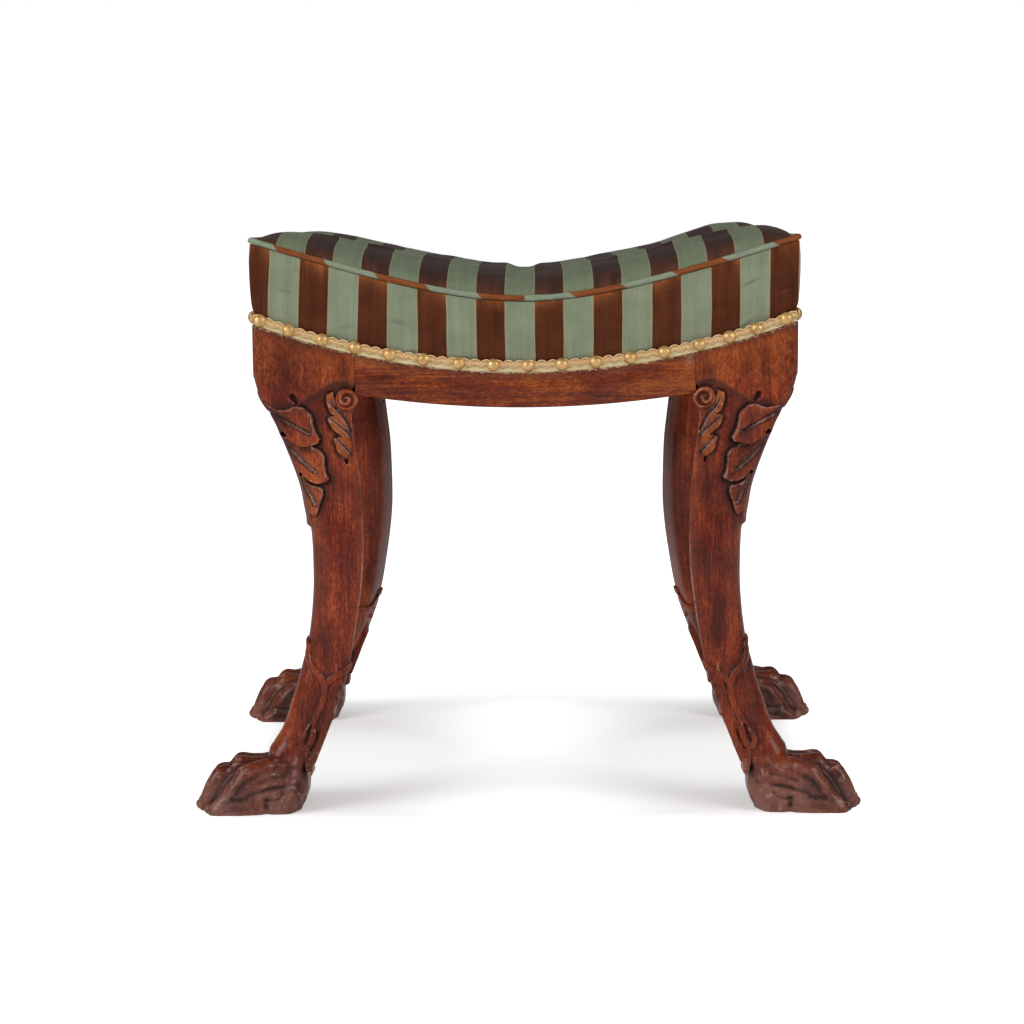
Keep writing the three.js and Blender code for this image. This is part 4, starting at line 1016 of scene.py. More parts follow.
cloth_thick = 1.2
lining = cloth_thick + 0.4
calico, place = new_finish("calico", {"Specular IOR Level": 0.2})
threads = mottle(place, (1500, 1500, 1500), 2.0, 0.6)
base = blend("#b8a67f", "#e0d4b4", mottle(place, (18, 18, 18), 3.0, 0.6))
wire_up(calico, base, ranged(threads, 0.3, 0.7, 0.8, 0.95), threads, 0.0003)
rounds, crowded = 56, 0.995
turns = np.linspace(-math.pi / 2, math.pi / 2, 2 * rounds + 1) * crowded
shares = np.sin(turns) / math.sin(math.pi / 2 * crowded)
across, along = np.meshgrid(shares, shares)
top_half_x, top_half_y = (half - welt_radius - lining for half in (welt_x, welt_y))
low_half_x, low_half_y = (half - boxing_inset - lining for half in (half_width, half_depth))
rim = np.maximum(np.abs(across), np.abs(along))
top_z = seat_top(across, along, top_half_x, top_half_y) - lining - 8 * smooth_share(rim, 0.96, 1)
low_z = rail_top(np.abs(across * low_half_x)) + hessian_low + hessian_thick + gap
low_z = low_z + 2 * smooth_share(rim, 0.98, 1)
stuffing = skin(
    "hair_stuffing", np.stack([across * top_half_x, along * top_half_y, top_z], -1),
    np.stack([across * low_half_x, along * low_half_y, low_z], -1), calico
)
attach(stuffing, "root")
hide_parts("seat_stuffing")

# Top cover
# Striped silk satin, sage green and brown with a fine pale cord between, cut to the seat and
# drawn tight over the stuffing. A coppery sheen is painted on the brown ground where it turns.
stripe_period, stripe_start = 46.0, -14.2


def lumps(u, v, cell_u, cell_v, seed):
    """Smooth random heights from -1 to 1 over a chart, with cells of that size."""
    table = np.random.default_rng(seed).uniform(-1, 1, (64, 64))
    cu, cv = u / cell_u + 200, v / cell_v + 200
    iu, iv = np.floor(cu).astype(int), np.floor(cv).astype(int)
    fu, fv = cu - iu, cv - iv
    fu, fv = fu * fu * (3 - 2 * fu), fv * fv * (3 - 2 * fv)

    def corner(a, b):
        return table[(iu + a) % 64, (iv + b) % 64]

    low = corner(0, 0) * (1 - fu) + corner(1, 0) * fu
    high = corner(0, 1) * (1 - fu) + corner(1, 1) * fu
    return low * (1 - fv) + high * fv


def striped_silk(name, green, brown, turned_up):
    """Satin stripes across the cloth's chart. Where the brown cloth turns up, a copper sheen is painted
    on it.
    """
    constants = {"Specular IOR Level": 0.05, "Sheen Weight": 0.03, "Sheen Roughness": 0.45}
    finish, place = new_finish(name, constants, "cloth")
    run = axes(place)[0] + mottle(place, (9, 16, 1), 2.0, 0.5) * 0.0022
    turns = maths("FRACT", run * (1 / (stripe_period * mm)) + (10 - stripe_start / stripe_period))
    is_brown = maths("GREATER_THAN", turns, 0.5)
    from_start = maths("MINIMUM", turns, maths("SUBTRACT", 1.0, turns))
    cord = maths("LESS_THAN", maths("MINIMUM", abs(turns - 0.5), from_start), 0.008)
    streaks = mottle(place, (1400, 26, 1), 3.0, 0.6)
    bands = mottle(place, (160, 5, 1), 2.0, 0.5)
    ribs = mottle(place, (50, 1500, 1), 2.0, 0.6)
    clouds = mottle(place, (34, 44, 1), 4.0, 0.6)
    tone = streaks * 0.45 + bands * 0.35 + clouds * 0.5 + ribs * 0.2 - 0.25
    shade = ranged(tone, 0.34, 0.7)
    # The turned_up mark paints a copper sheen on the brown
    glow = marked(place, "turned_up") * ranged(tone, 0.34, 0.62, 0.35, 1.0)
    base = blend(blend(*green, shade), blend(blend(*brown, shade), turned_up, glow * 0.85), is_brown)
    base = blend(base, "#a39a78", cord * 0.6)
    stain = ranged(mottle(place, (110, 150, 1), 3.0, 0.6), 0.66, 0.76)
    base = blend(base, "#4a4634", stain * 0.35)
    # Painted shade in the creases
    base = blend(base, "#2c2a20", marked(place, "crease") * 0.6)
    roughness = ranged(streaks, 0.3, 0.7, 0.4, 0.55)
    wire_up(finish, base, roughness, streaks * 0.5 + ribs * 0.5, 0.00016, 0.7)
    return finish


top_silk = striped_silk("striped_silk_top", ("#69735c", "#828b70"), ("#33201b", "#49302a"), "#6a4230")
top_half_x, top_half_y = welt_x - welt_radius - 0.3, welt_y - welt_radius - 0.3
across, along = np.meshgrid(np.linspace(-1, 1, 261), np.linspace(-1, 1, 231))
crowding = 0.93 * math.pi / 2
across, along = (np.sin(share * crowding) / math.sin(crowding) for share in (across, along))
x, y = across * top_half_x, along * top_half_y
z = seat_top(across, along, top_half_x, top_half_y)
edge_gap = np.minimum(top_half_x - np.abs(x), top_half_y - np.abs(y))
around = np.where(top_half_x - np.abs(x) < top_half_y - np.abs(y), y + 500, x)
puckers = 0.5 * lumps(around, edge_gap, 5.5, 40, 11)
puckers *= np.exp(-edge_gap / 7) * smooth_share(edge_gap, 0, 2)
hollows = 0.9 * lumps(x, y, 42, 46, 12) + 0.6 * lumps(x, y, 17, 30, 13)
hollows *= smooth_share(edge_gap, 0, 30)
z = z + puckers + hollows
# Where the slack of the worn middle gathers, short lips stand along the front and the rear roll
for lip_x, lip_y, run_x, run_y, lift in (
    (-150, -128, 30, 7, 1.6), (-112, -122, 24, 6, 1.8), (-70, -118, 22, 6, 1.2),
    (-14, -60, 5, 60, 1.0), (12, -60, 5, 60, 1.2), (84, -118, 22, 6, 1.3), (122, -122, 22, 6, 1.9),
    (158, -128, 26, 7, 1.7), (-60, 122, 26, 6, 1.0), (70, 120, 26, 6, 1.2),
):
    lip = ((x - lip_x) / run_x) ** 2 + ((y - lip_y - 0.12 * (x - lip_x)) / run_y) ** 2
    z += lift * np.exp(-lip) * smooth_share(edge_gap, 4, 20)
upper = np.stack([x, y, z], -1)
lower = np.stack([x, y, z - cloth_thick], -1)
dish_x = np.linspace(-top_half_x, top_half_x, 800)
dish_run = np.concatenate([[0], np.cumsum(np.hypot(np.diff(dish_x), np.diff(welt_line(dish_x))))])
dish_run -= dish_run[-1] / 2
step_y, step_z = (np.diff(at, axis=0, prepend=at[:1]) for at in (y, z))
back_run = np.cumsum(np.hypot(step_y, step_z), axis=0)
chart = np.stack([np.interp(x, dish_x, dish_run), back_run - back_run[-1:] / 2], -1)
top_cover = skin("silk_top", upper, lower, top_silk, chart)
# A copper sheen is painted on the brown near the welt, where the cloth turns up
painted_sheen_near_welt = np.exp(-edge_gap / 9) * (0.75 + 0.5 * lumps(around, edge_gap, 8, 30, 14))
mark(top_cover, "turned_up", np.tile(np.clip(painted_sheen_near_welt, 0, 1).ravel(), 2))
mark(top_cover, "crease", np.zeros(2 * x.size))
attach(top_cover, "root")
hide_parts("top_cover")

# Boxing
# Four panels of the same silk, sewn to the welt above and tacked into the rebate below. The
# seams of the corners stand upright, and small puckers gather under the welt and over the nails.
boxing_silk = striped_silk(
    "striped_silk_sides", ("#767d66", "#8f967d"), ("#432012", "#60331e"), "#a86236"
)
side_rows, boxing_tall = 72, 62


def wall(front, stations, rows, offset, height, thickness, extra=None):
    """Upright grids round the seat, in the place of the front panel or the right one, mitred."""
    run = half_width if front else half_depth
    share, up = np.meshgrid(stations, rows)
    faces = []
    dark = 0 * share
    for depth in (0, thickness):
        stand = offset(up) - depth
        along = share * (run + stand - 0.15)
        line_x = np.abs(share) * half_width if front else np.full_like(share, half_width)
        z = height(line_x, up)
        if extra is not None:
            relief, dark = extra(along, z, up, share)
            stand = stand + relief
        x, y = (along, -half_depth - stand) if front else (half_width + stand, along)
        faces.append(np.stack([x, y, z], -1))
    return faces, share * run, dark


def boxing_height(x, up):
    return boxing_foot(x) + (boxing_head(x) - boxing_foot(x)) * up


# Creases read off the front: place along, height over the foot, half sizes, depth and slant
front_creases = [
    (176, 41, 9, 1.4, 0.9, 0.15), (172, 8, 13, 1.5, 0.9, 0.5), (-151, 5.5, 5, 1.3, 0.8, -0.2),
    (-188, 33, 8, 2.2, 0.5, 0.1), (-100, 31, 8, 2.0, 0.5, -0.1), (-140, 18, 8, 2.4, 0.4, 0.3),
    (203, 27, 9, 1.6, 0.7, 0.05), (204, 17, 9, 1.8, 0.7, -0.1), (203, 7, 9, 1.6, 0.7, 0.05),
    (205, 38, 8, 1.8, 0.6, 0.1), (-45, 8, 8, 1.8, 0.5, 0.2), (24, 6, 9, 1.8, 0.5, -0.2),
    (68, 10, 8, 2, 0.4, 0.3), (96, 6, 8, 1.8, 0.5, -0.2), (-90, 7, 8, 2, 0.5, 0.3),
    (150, 30, 6, 1.6, 0.4, 0.2),
]


def boxing_relief(seed, creases):
    """How far the cloth stands out of its smooth face, and how much painted shade darkens each crease.
    """
    def stand(along, z, up, share):
        head, foot = (1 - up) * boxing_tall, up * boxing_tall
        edge = smooth_share(1 - np.abs(share), 0, 0.03)
        near_head = np.exp(-head / 6) * smooth_share(head, 0.3, 2.5)
        gathers = 0.7 * lumps(along, head, 5.5, 60, seed) * near_head
        pulls = 0.5 * lumps(along, foot, 9, 50, seed + 1) * hump(foot - 12, 7)
        clear = smooth_share(head, 0, 16) * smooth_share(foot, 8, 20)
        relief = gathers + pulls + 0.7 * lumps(along, z, 34, 24, seed + 2) * clear
        dark = 0 * along
        for place, lift, half_long, half_high, depth, slant in creases:
            away = along - place
            off = (away / half_long) ** 2 + ((foot - lift - slant * away) / half_high) ** 2
            relief = relief - depth * np.exp(-off) + 0.5 * depth * np.exp(-off / 6)
            # Painted shade in the crease
            dark = dark + 0.9 * depth * np.exp(-2.2 * off)
        return relief * edge, np.clip(dark, 0, 1)
    return stand


station_shares = np.linspace(-1, 1, 361)
for side, front, mirror, seed in (
    ("front", True, (1, 1, 1), 21), ("rear", True, (1, -1, 1), 31),
    ("right", False, (1, 1, 1), 41), ("left", False, (-1, 1, 1), 51),
):
    creases = front_creases if side == "front" else [
        (place * sign, lift, long, high, 0.8 * depth, slant * sign)
        for (place, lift, long, high, depth, slant), sign
        in zip(front_creases[seed % 4::2], (1, -1) * 8)
    ]
    up = np.linspace(0, 1, side_rows)[:, None]
    (outer_face, inner_face), run, dark = wall(
        front, station_shares, up[:, 0], boxing_face, boxing_height, cloth_thick,
        boxing_relief(seed, creases)
    )
    leaning = 2.5 * (1 - up) * smooth_share(-run * mirror[0], 70, 150)
    chart = np.stack([outer_face[..., 0 if front else 1] + leaning, outer_face[..., 2]], -1)
    panel = skin(f"silk_side_{side}", outer_face * mirror, inner_face * mirror, boxing_silk, chart)
    out = -outer_face[..., 1] if front else outer_face[..., 0]
    rise = np.gradient(outer_face[..., 2], axis=0)
    facing_up = -np.gradient(out, axis=0) / np.maximum(rise, 1e-3)
    head = (1 - up) * boxing_tall
    # A copper sheen is painted on the brown under the welt and where the cloth faces up
    glow = 1.1 * np.exp(-head / 5.5) * (0.55 + 0.65 * lumps(run, head, 7, 50, seed + 3))
    glow = glow + smooth_share(facing_up, 0.1, 0.45) * 0.8
    mark(panel, "turned_up", np.tile(np.clip(glow, 0, 1).ravel(), 2))
    # The crease mark is painted shade
    mark(panel, "crease", np.tile(dark.ravel(), 2))
    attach(panel, "root")
    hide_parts(f"boxing_{side}")

# Welt
# A cord covered with a bias strip of the same silk, so its green and copper change on a slant.
# It is sewn in between the top and the boxing, once round the seat.
bias_period, bias_start = 82, 38.2
welt_silk, place = new_finish("bias_welt_silk", {"Specular IOR Level": 0.08}, "cloth")
along, around, _ = axes(place)
bias = (along + around) * (1 / (bias_period * mm)) + (20 + bias_start / bias_period)
is_copper = maths("LESS_THAN", maths("FRACT", bias), 0.5)
threads = mottle(place, (60, 1600, 1), 2.0, 0.6)
turned = ranged(threads, 0.35, 0.65)
base = blend(blend("#6f7a66", "#98a38c", turned), blend("#63321b", "#9c5c34", turned), is_copper)
wire_up(welt_silk, base, ranged(threads, 0.3, 0.7, 0.45, 0.6), threads, 0.0002)


def turned_about(side, other, sides, first):
    """Directions all round a line, between two that stand square to it at each of its points."""
    angles = np.linspace(0, 2 * math.pi, sides, endpoint=False) + first
    across, over = np.cos(angles)[None, :, None], np.sin(angles)[None, :, None]
    return side[:, None] * across + other[:, None] * over


def ring_tube(name, path, radius, sides, finish):
    """A closed tube along a loop of points, charted by its run and its girth."""
    count = len(path)
    ahead = np.roll(path, -1, 0) - np.roll(path, 1, 0)
    ahead /= np.linalg.norm(ahead, axis=1)[:, None]
    out = np.cross(ahead, (0, 0, 1.0))
    out /= np.linalg.norm(out, axis=1)[:, None]
    over_it = np.cross(out, ahead)
    rings = path[:, None] + radius * turned_about(out, over_it, sides, 1.15 * math.pi)
    at = np.arange(count * sides).reshape(count, sides)
    on, up = np.roll(at, -1, 0), np.roll(at, -1, 1)
    faces = np.stack([at, on, np.roll(on, -1, 1), up], -1).reshape(-1, 4)
    piece = make_piece(name, rings.reshape(-1, 3), [faces], finish)
    step = np.linalg.norm(np.roll(path, -1, 0) - path, axis=1)
    run = np.concatenate([[0], np.cumsum(step)])
    u = np.stack([run[:-1], run[1:], run[1:], run[:-1]], -1)[:, None] + np.zeros((1, sides, 1))
    girth = np.arange(sides + 1) * 2 * math.pi * radius / sides
    v = np.stack([girth[:-1], girth[:-1], girth[1:], girth[1:]], -1)[None] + np.zeros((count, 1, 1))
    layer = piece.data.uv_layers.new(name="cloth")
    chart = np.stack([u, v], -1).reshape(-1, 2) * mm
    layer.data.foreach_set("uv", chart.astype(np.float32).ravel())
    return piece


corner_radius = 3.0
loop = []
for side_x, side_y, start in ((1, -1, -90), (1, 1, 0), (-1, 1, 90), (-1, -1, 180)):
    for degrees in np.linspace(start, start + 90, 7):
        angle = math.radians(degrees)
        loop.append((
            side_x * (welt_x - corner_radius) + corner_radius * math.cos(angle),
            side_y * (welt_y - corner_radius) + corner_radius * math.sin(angle),
        ))
loop = np.array(loop)
step = np.linalg.norm(np.roll(loop, -1, 0) - loop, axis=1)
run = np.concatenate([[0], np.cumsum(step)])
closed = np.vstack([loop, loop[:1]])
middle_front = run[-1] - (welt_x - corner_radius)
even = (np.arange(0, run[-1], 1.6) + middle_front) % run[-1]
flat = np.stack([np.interp(even, run, closed[:, k]) for k in (0, 1)], -1)
welt_path = np.column_stack([flat, welt_line(flat[:, 0])])
welt = ring_tube("covered_welt", welt_path, welt_radius, 14, welt_silk)
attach(welt, "root")
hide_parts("welt")

# Gimp and nails
# A woven cream braid with a looped gold cord along its top covers the raw edge of the silk. It is
# held by domed brass nails, 26 mm apart, whose tops have worn bright.
gimp_width, gimp_thick = 9.6, 1.0
loop_pitch = 8.7
nail_pitch, nail_radius, nail_stand, nail_margin = 26, 4.8, 4.1, 8.5


def repeat_along(name, evenly):
    """A Geometry Nodes tree that sets a unit facing outwards, evenly along a path or at its points."""
    tree = bpy.data.node_groups.new(name, "GeometryNodeTree")
    sockets = {}
    for label, kind in (
        ("Path", "Geometry"), ("Unit", "Object"), ("Pitch", "Float"), ("Outward", "Vector"),
        ("Size", "Float"), ("Size change", "Float"), ("Finish", "Material"),
    ):
        sockets[label] = tree.interface.new_socket(
            label, in_out="INPUT", socket_type="NodeSocket" + kind
        )
    tree.interface.new_socket("Result", in_out="OUTPUT", socket_type="NodeSocketGeometry")

    def node(kind, inputs=(), **settings):
        return add_node(tree, kind, inputs, **settings)

    given = node("NodeGroupInput").outputs
    even = node("GeometryNodeMeshToCurve", {"Mesh": given["Path"]})
    if evenly:
        inputs = {"Curve": even.outputs[0], "Length": given["Pitch"]}
        even = node("GeometryNodeResampleCurve", inputs, mode="LENGTH")
    unit = node("GeometryNodeObjectInfo", {"Object": given["Unit"]})
    tangent = node("GeometryNodeInputTangent")
    ahead = node("FunctionNodeAlignRotationToVector", {"Vector": tangent.outputs[0]}, axis="X")
    facing = node(
        "FunctionNodeAlignRotationToVector",
        {"Rotation": ahead.outputs[0], "Vector": given["Outward"]}, axis="Z", pivot_axis="X"
    )
    inputs = {2: 0.0, 3: given["Size change"], "Seed": 7}
    change = node("FunctionNodeRandomValue", inputs, data_type="FLOAT")
    size = node("ShaderNodeMath", {0: given["Size"], 1: change.outputs[1]}, operation="ADD")
    placed = node("GeometryNodeInstanceOnPoints", {
        "Points": even.outputs[0], "Instance": unit.outputs["Geometry"],
        "Rotation": facing.outputs[0], "Scale": size.outputs[0],
    })
    real = node("GeometryNodeRealizeInstances", {0: placed.outputs[0]})
    finished = node("GeometryNodeSetMaterial", {
        "Geometry": real.outputs[0], "Material": given["Finish"],
    })
    result = node("NodeGroupOutput")
    tree.links.new(finished.outputs[0], result.inputs[0])
    return tree, {label: socket.identifier for label, socket in sockets.items()}


along_path, at_points = repeat_along("Set along a path", True), repeat_along("Set at points", False)


def set_along(name, path, unit, pitch, outward, finish, size=1.0, size_change=0.0):
    """Sets the unit along the path, or at its points where no pitch is given, as a plain mesh."""
    nodes, inputs = along_path if pitch else at_points
    mesh = bpy.data.meshes.new(name)
    edges = [(i, i + 1) for i in range(len(path) - 1)]
    mesh.from_pydata((np.asarray(path) * mm).tolist(), edges, [])
    piece = bpy.data.objects.new(name, mesh)
    bpy.context.scene.collection.objects.link(piece)
    setter = piece.modifiers.new("set along", "NODES")
    setter.node_group = nodes
    for label, value in (
        ("Unit", unit), ("Pitch", (pitch or 1) * mm), ("Outward", outward), ("Size", size),
        ("Size change", size_change), ("Finish", finish),
    ):
        setter[inputs[label]] = value
    settle(piece)
    piece.data.shade_smooth()
    return piece


brass, place = new_finish("worn_brass", {"Metallic": 0.55, "Specular IOR Level": 0.5})
tarnish = mottle(place, (160, 160, 160), 4.0, 0.65)
scratches = mottle(place, (700, 700, 700), 2.0, 0.6)
base = blend("#e8bf80", "#b0854a", ranged(tarnish, 0.35, 0.7))
wire_up(brass, base, ranged(tarnish, 0.3, 0.7, 0.34, 0.46), scratches, 0.0001, 0.5)

turns_round = 20
dome = [
    (0.97, -0.35), (1.0, 0.02), (0.975, 0.2), (0.9, 0.42), (0.78, 0.62), (0.62, 0.78), (0.43, 0.9),
    (0.22, 0.975),
]
angles = np.linspace(0, 2 * math.pi, turns_round, endpoint=False)
dome_points = [
    (nail_radius * r * math.cos(a), nail_radius * r * math.sin(a), nail_stand * h)
    for r, h in dome for a in angles
] + [(0, 0, nail_stand)]
dome_quads = [
    (j * turns_round + i, j * turns_round + (i + 1) % turns_round,
     (j + 1) * turns_round + (i + 1) % turns_round, (j + 1) * turns_round + i)
    for j in range(len(dome) - 1) for i in range(turns_round)
]
last = (len(dome) - 1) * turns_round
dome_caps = [
    (last + i, last + (i + 1) % turns_round, len(dome_points) - 1) for i in range(turns_round)
]
nail_unit = make_piece("nail_unit", np.array(dome_points), [dome_quads, dome_caps])

gold, place = new_finish("gold_gimp_cord", {"Specular IOR Level": 0.12})
winding = mottle(place, (2200, 2200, 2200), 2.0, 0.6)
base = blend("#e0b07e", "#f2d6a2", mottle(place, (90, 90, 90), 3.0, 0.6))
base = blend(base, "#b9834f", ranged(winding, 0.45, 0.7, 0.0, 0.7))
# The cord is painted darker where it lies low between the strands, as shade
base = blend(base, "#98653a", ranged(marked(place, "standing"), 1.25, 0.4))
wire_up(gold, base, ranged(winding, 0.3, 0.7, 0.6, 0.8), winding, 0.0003)

cream, place = new_finish("cream_gimp_band", {"Specular IOR Level": 0.1}, "cloth")
weave = woven(place, 0.00075, 0.00055)
base = blend("#dcc692", "#f2e3b4", mottle(place, (70, 200, 1), 3.0, 0.6))
base = blend(base, "#b19a64", ranged(weave, 0.45, 0.1, 0.0, 0.4))
wire_up(cream, base, ranged(weave, 0.0, 1.0, 0.9, 0.7), weave, 0.0003)


def strand(points, radius, sides=4):
    """Points and faces of a thin open tube for one strand of the looped cord."""
    points = np.array(points, float)
    ahead = np.gradient(points, axis=0)
    ahead /= np.linalg.norm(ahead, axis=1)[:, None]
    side = np.cross(ahead, np.tile((0, 0, 1.0), (len(points), 1)))
    side /= np.linalg.norm(side, axis=1)[:, None]
    rings = points[:, None] + radius * turned_about(side, np.cross(side, ahead), sides, math.pi / 4)
    at = np.arange(len(points) * sides).reshape(-1, sides)
    up = np.roll(at, -1, 1)
    return rings.reshape(-1, 3), np.stack([at[:-1], at[1:], up[1:], up[:-1]], -1).reshape(-1, 4)


steps = np.linspace(-0.5, 0.5, 11)
wave = np.cos(2 * math.pi * steps)
arch = np.abs(np.cos(math.pi * steps)) ** 0.8
strands = [
    (np.stack([reach * steps * loop_pitch, across, height], -1), radius)
    for reach, across, height, radius in (
        (1, 1.2 + 2.2 * arch, 0.6 + 0.9 * arch, 0.74),
        (0.72, 0.9 + 1.1 * arch, 0.7 + 0.4 * arch, 0.42),
        (1, 0.55 + 0.75 * wave, 1.0 - 0.35 * wave, 0.68),
        (1, -0.55 + 0.95 * wave, 1.05 + 0.3 * wave, 0.68),
        (1, -1.65 + 1.15 * wave, 0.7 + 0.25 * wave, 0.62),
    )
]
for offset in (-0.5, -0.4, 0.4):
    knot = np.array([
        (offset, -2.9), (offset * 1.02, -1.2), (offset * 1.02, 0.4), (offset * 0.98, 1.9),
    ])
    strands.append((
        np.column_stack([knot[:, 0] * loop_pitch, knot[:, 1], [0.5, 1.2, 1.3, 0.6]]), 0.46
    ))
eye = np.linspace(0.15 * math.pi, 1.85 * math.pi, 10) - math.pi / 2
strands.append((np.stack([1.7 * np.cos(eye), 2.1 + 0.95 * np.sin(eye), 0.55 + 0 * eye], -1), 0.4))
unit_points, unit_faces = [], []
for points, radius in strands:
    tube, tube_faces = strand(points, radius)
    unit_faces.append(tube_faces + sum(map(len, unit_points)))
    unit_points.append(tube)
unit_points = np.vstack(unit_points)
loop_unit = make_piece("loop_unit", unit_points, [np.vstack(unit_faces)])
# Each strand's height, by which the cord's finish paints shade low between the strands
mark(loop_unit, "standing", unit_points[:, 2])

gimp_back = 0.3 - boxing_inset
gimp_face = gimp_back + gimp_thick
band_foot, cord_lift = -0.25, 5.6
front_nails = np.array([
    -208.3, -185.7, -159.4, -133.7, -106.5, -79.9, -52.1, -24.9, 2.3, 28.9, 55.5, 82.7, 109.6, 137.1,
    160.4, 182.1, 205.1,
])
nail_reach = half_depth - nail_margin
side_nails = np.linspace(-1, 1, 2 * round(nail_reach / nail_pitch) + 1) * nail_reach


def band_height(x, up):
    return gimp_under(x) + band_foot + (gimp_width - band_foot) * up


for side, front, mirror in (
    ("front", True, (1, 1, 1)), ("rear", True, (-1, -1, 1)),
    ("right", False, (1, 1, 1)), ("left", False, (-1, 1, 1)),
):
    run = half_width if front else half_depth
    (outer_face, inner_face), band_run, _ = wall(
        front, np.linspace(-1, 1, 351), np.array([0, 0.12, 0.3, 0.5, 0.7, 0.8]),
        lambda up: gimp_face + 0 * up, band_height, gimp_thick
    )
    over_foot = outer_face[..., 2] - gimp_under(np.minimum(np.abs(outer_face[..., 0]), half_width))
    chart = np.stack([band_run, over_foot], -1)
    band = skin(f"gimp_band_{side}", outer_face * mirror, inner_face * mirror, cream, chart)
    stand = gimp_face + 0.1
    run_out = half_depth if front else half_width

    def path_at(along, lift, stand_off):
        """Places along this side at that height over the gimp's lower edge."""
        rail_x = np.minimum(np.abs(along), half_width) if front else np.full_like(along, half_width)
        out = np.full_like(along, run_out + stand_off)
        x, y = (along, -out) if front else (out, along)
        return np.column_stack([x, y, gimp_under(rail_x) + lift]) * mirror

    outward = (0, -1.0 * mirror[1], 0) if front else (1.0 * mirror[0], 0, 0)
    cord_reach = run + gimp_face - 0.42 * loop_pitch
    cord_path = path_at(np.linspace(-cord_reach, cord_reach, 200), cord_lift, stand)
    cord_length = float(np.sum(np.linalg.norm(np.diff(cord_path, axis=0), axis=1)))
    cord_pitch = cord_length / round(cord_length / loop_pitch) - 0.001
    cord = set_along(f"gimp_cord_{side}", cord_path, loop_unit, cord_pitch, outward, gold)
    nail_path = path_at(front_nails if front else side_nails, gimp_width / 2 + 0.2, stand + 0.2)
    nails = set_along(f"gimp_nails_{side}", nail_path, nail_unit, None, outward, brass, 1.07, 0.05)
    for piece in (band, cord, nails):
        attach(piece, "root")
        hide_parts(f"gimp_{side}")
for unit in (nail_unit, loop_unit):
    bpy.data.objects.remove(unit)

# Floor, light and camera
# A plain pale floor, two soft lamps in front to the left and right with a wide weak one between
# them, and the photograph's view. The floor shows white to the camera and keeps the soft shadows.


def kinds_of_rays(tree):
    """Whether a ray comes from the camera, and whether it is mirrored or passes through."""
    rays = add_node(tree, "ShaderNodeLightPath")
    mirrored = most(Wire(rays, "Is Glossy Ray"), Wire(rays, "Is Transmission Ray"))
    return Wire(rays, "Is Camera Ray"), mirrored


floor_finish, place = new_finish("pale_floor", {
    "Base Color": (0.93, 0.93, 0.93, 1), "Roughness": 0.9, "Specular IOR Level": 0.1,
})
tree = floor_finish.node_tree
by_camera, mirrored = kinds_of_rays(tree)
x, y, _ = axes(place)
behind = ranged(abs(x) * -4.5 + y, 0.3, 0.9, 0.0, 0.25)
seen = most(by_camera, mirrored * behind)
# The floor's glow to the camera is full all round the stool, and weaker between its feet, which paints
# the floor darker where its shadows fall
beyond = most(ranged(y, -0.19, -0.3, smooth=True), ranged(y, 0.12, 0.46, smooth=True))
beyond = most(beyond, ranged(abs(x), 0.21, 0.29, smooth=True))
between = most(ranged(abs(x), 0.17, 0.0, 0.0, 0.4, smooth=True),
               ranged(abs(y), 0.17, 0.03, 0.0, 0.24, smooth=True))
strength = seen * ranged(most(beyond, between), 0.0, 1.0, 0.27, 1.0)
glow = add_node(tree, "ShaderNodeEmission", {"Color": (1, 1, 1, 1), "Strength": strength})
lit = tree.nodes["Principled BSDF"].outputs[0]
both = add_node(tree, "ShaderNodeAddShader", {0: lit, 1: glow.outputs[0]})
tree.links.new(both.outputs[0], tree.nodes["Material Output"].inputs["Surface"])
floor_mesh = bpy.data.meshes.new("floor")
floor_mesh.from_pydata([(-12, -6, 0), (12, -6, 0), (12, 30, 0), (-12, 30, 0)], [], [(0, 1, 2, 3)])
floor_mesh.materials.append(floor_finish)
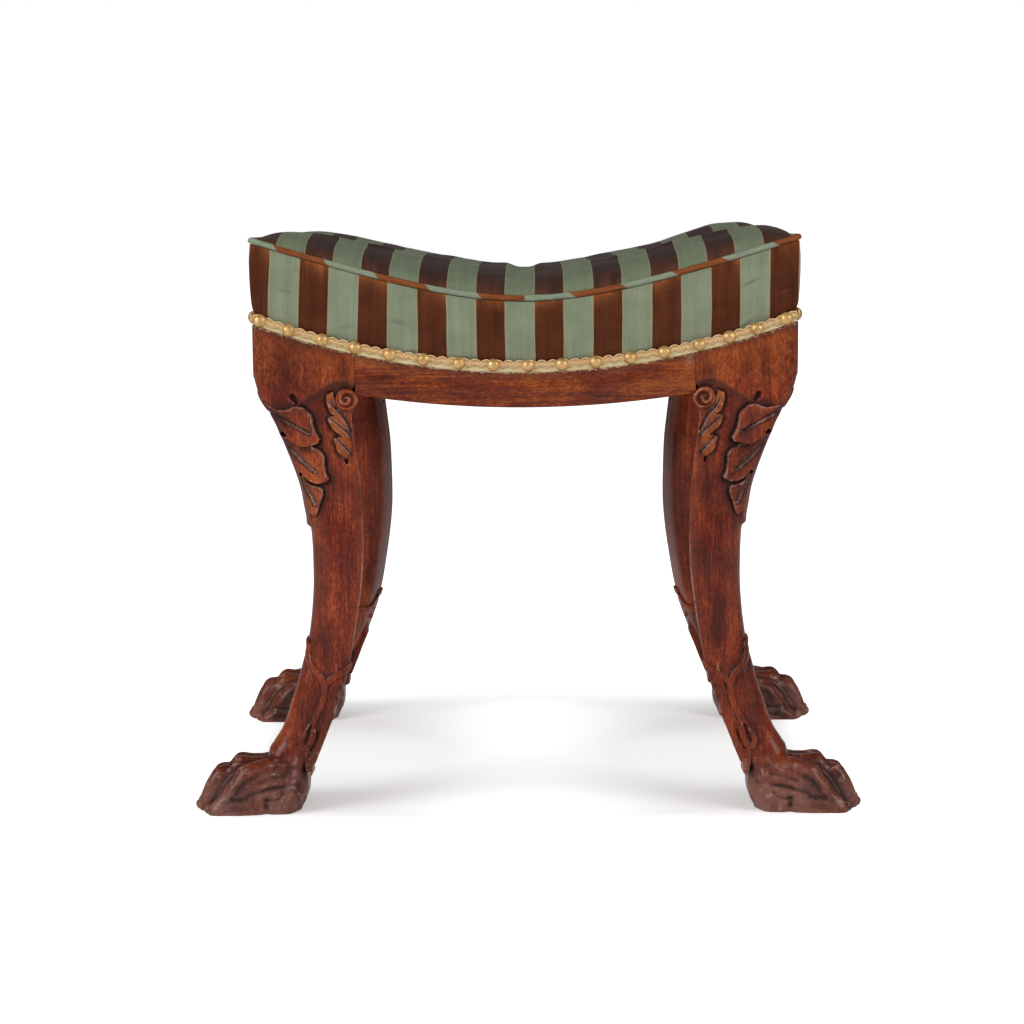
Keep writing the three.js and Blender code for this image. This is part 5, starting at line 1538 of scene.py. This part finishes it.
floor = bpy.data.objects.new("floor", floor_mesh)
bpy.context.scene.collection.objects.link(floor)

world = bpy.data.worlds.new("studio")
bpy.context.scene.world = world
world.use_nodes = True
tree = world.node_tree
by_camera, mirrored = kinds_of_rays(tree)
toward = axes(Wire(add_node(tree, "ShaderNodeTexCoord"), "Generated"))
backdrop = ranged(toward[1], 0.94, 0.98, 0.08, 0.3, smooth=True)
soft_share_of_light = 0.25
inputs = {0: mirrored, 2: soft_share_of_light, 3: backdrop}
strength = most(Wire(add_node(tree, "ShaderNodeMix", inputs, data_type="FLOAT")), by_camera)
background = tree.nodes["Background"]
background.inputs["Color"].default_value = (1, 1, 1, 1)
tree.links.new(strength.socket, background.inputs["Strength"])

middle = Vector((0, 0, 0.25))
for name, place, watts, width in (
    ("lamp_left", (-2.1, -1.5, 1.4), 39, 1.5), ("lamp_right", (2.1, -1.5, 1.4), 30, 1.5),
    ("lamp_front", (0, -2.7, 1.3), 8, 1.8),
):
    lamp = bpy.data.lights.new(name, "AREA")
    lamp.energy = watts
    lamp.size = width
    holder = bpy.data.objects.new(name, lamp)
    holder.location = place
    holder.rotation_euler = (middle - Vector(place)).to_track_quat("-Z", "Y").to_euler()
    bpy.context.scene.collection.objects.link(holder)

yaw, pitch, roll = -0.00947864592, 0.117384216, -0.0070914012
ahead = Vector((math.sin(yaw) * math.cos(pitch), math.cos(yaw) * math.cos(pitch), -math.sin(pitch)))
right = Vector((math.cos(yaw), -math.sin(yaw), 0))
up = right.cross(ahead)
turned_right = math.cos(roll) * right + math.sin(roll) * up
turned_up = math.cos(roll) * up - math.sin(roll) * right
camera_data = bpy.data.cameras.new("camera")
camera_data.sensor_width = 36
camera_data.lens = 85
camera = bpy.data.objects.new("camera", camera_data)
pose = Matrix((turned_right, turned_up, -ahead)).transposed().to_4x4()
pose.translation = (0.00688136, -2.111084, 0.467464522)
camera.matrix_world = pose
bpy.context.scene.collection.objects.link(camera)
bpy.context.scene.camera = camera
bpy.context.scene.view_settings.view_transform = "Standard"
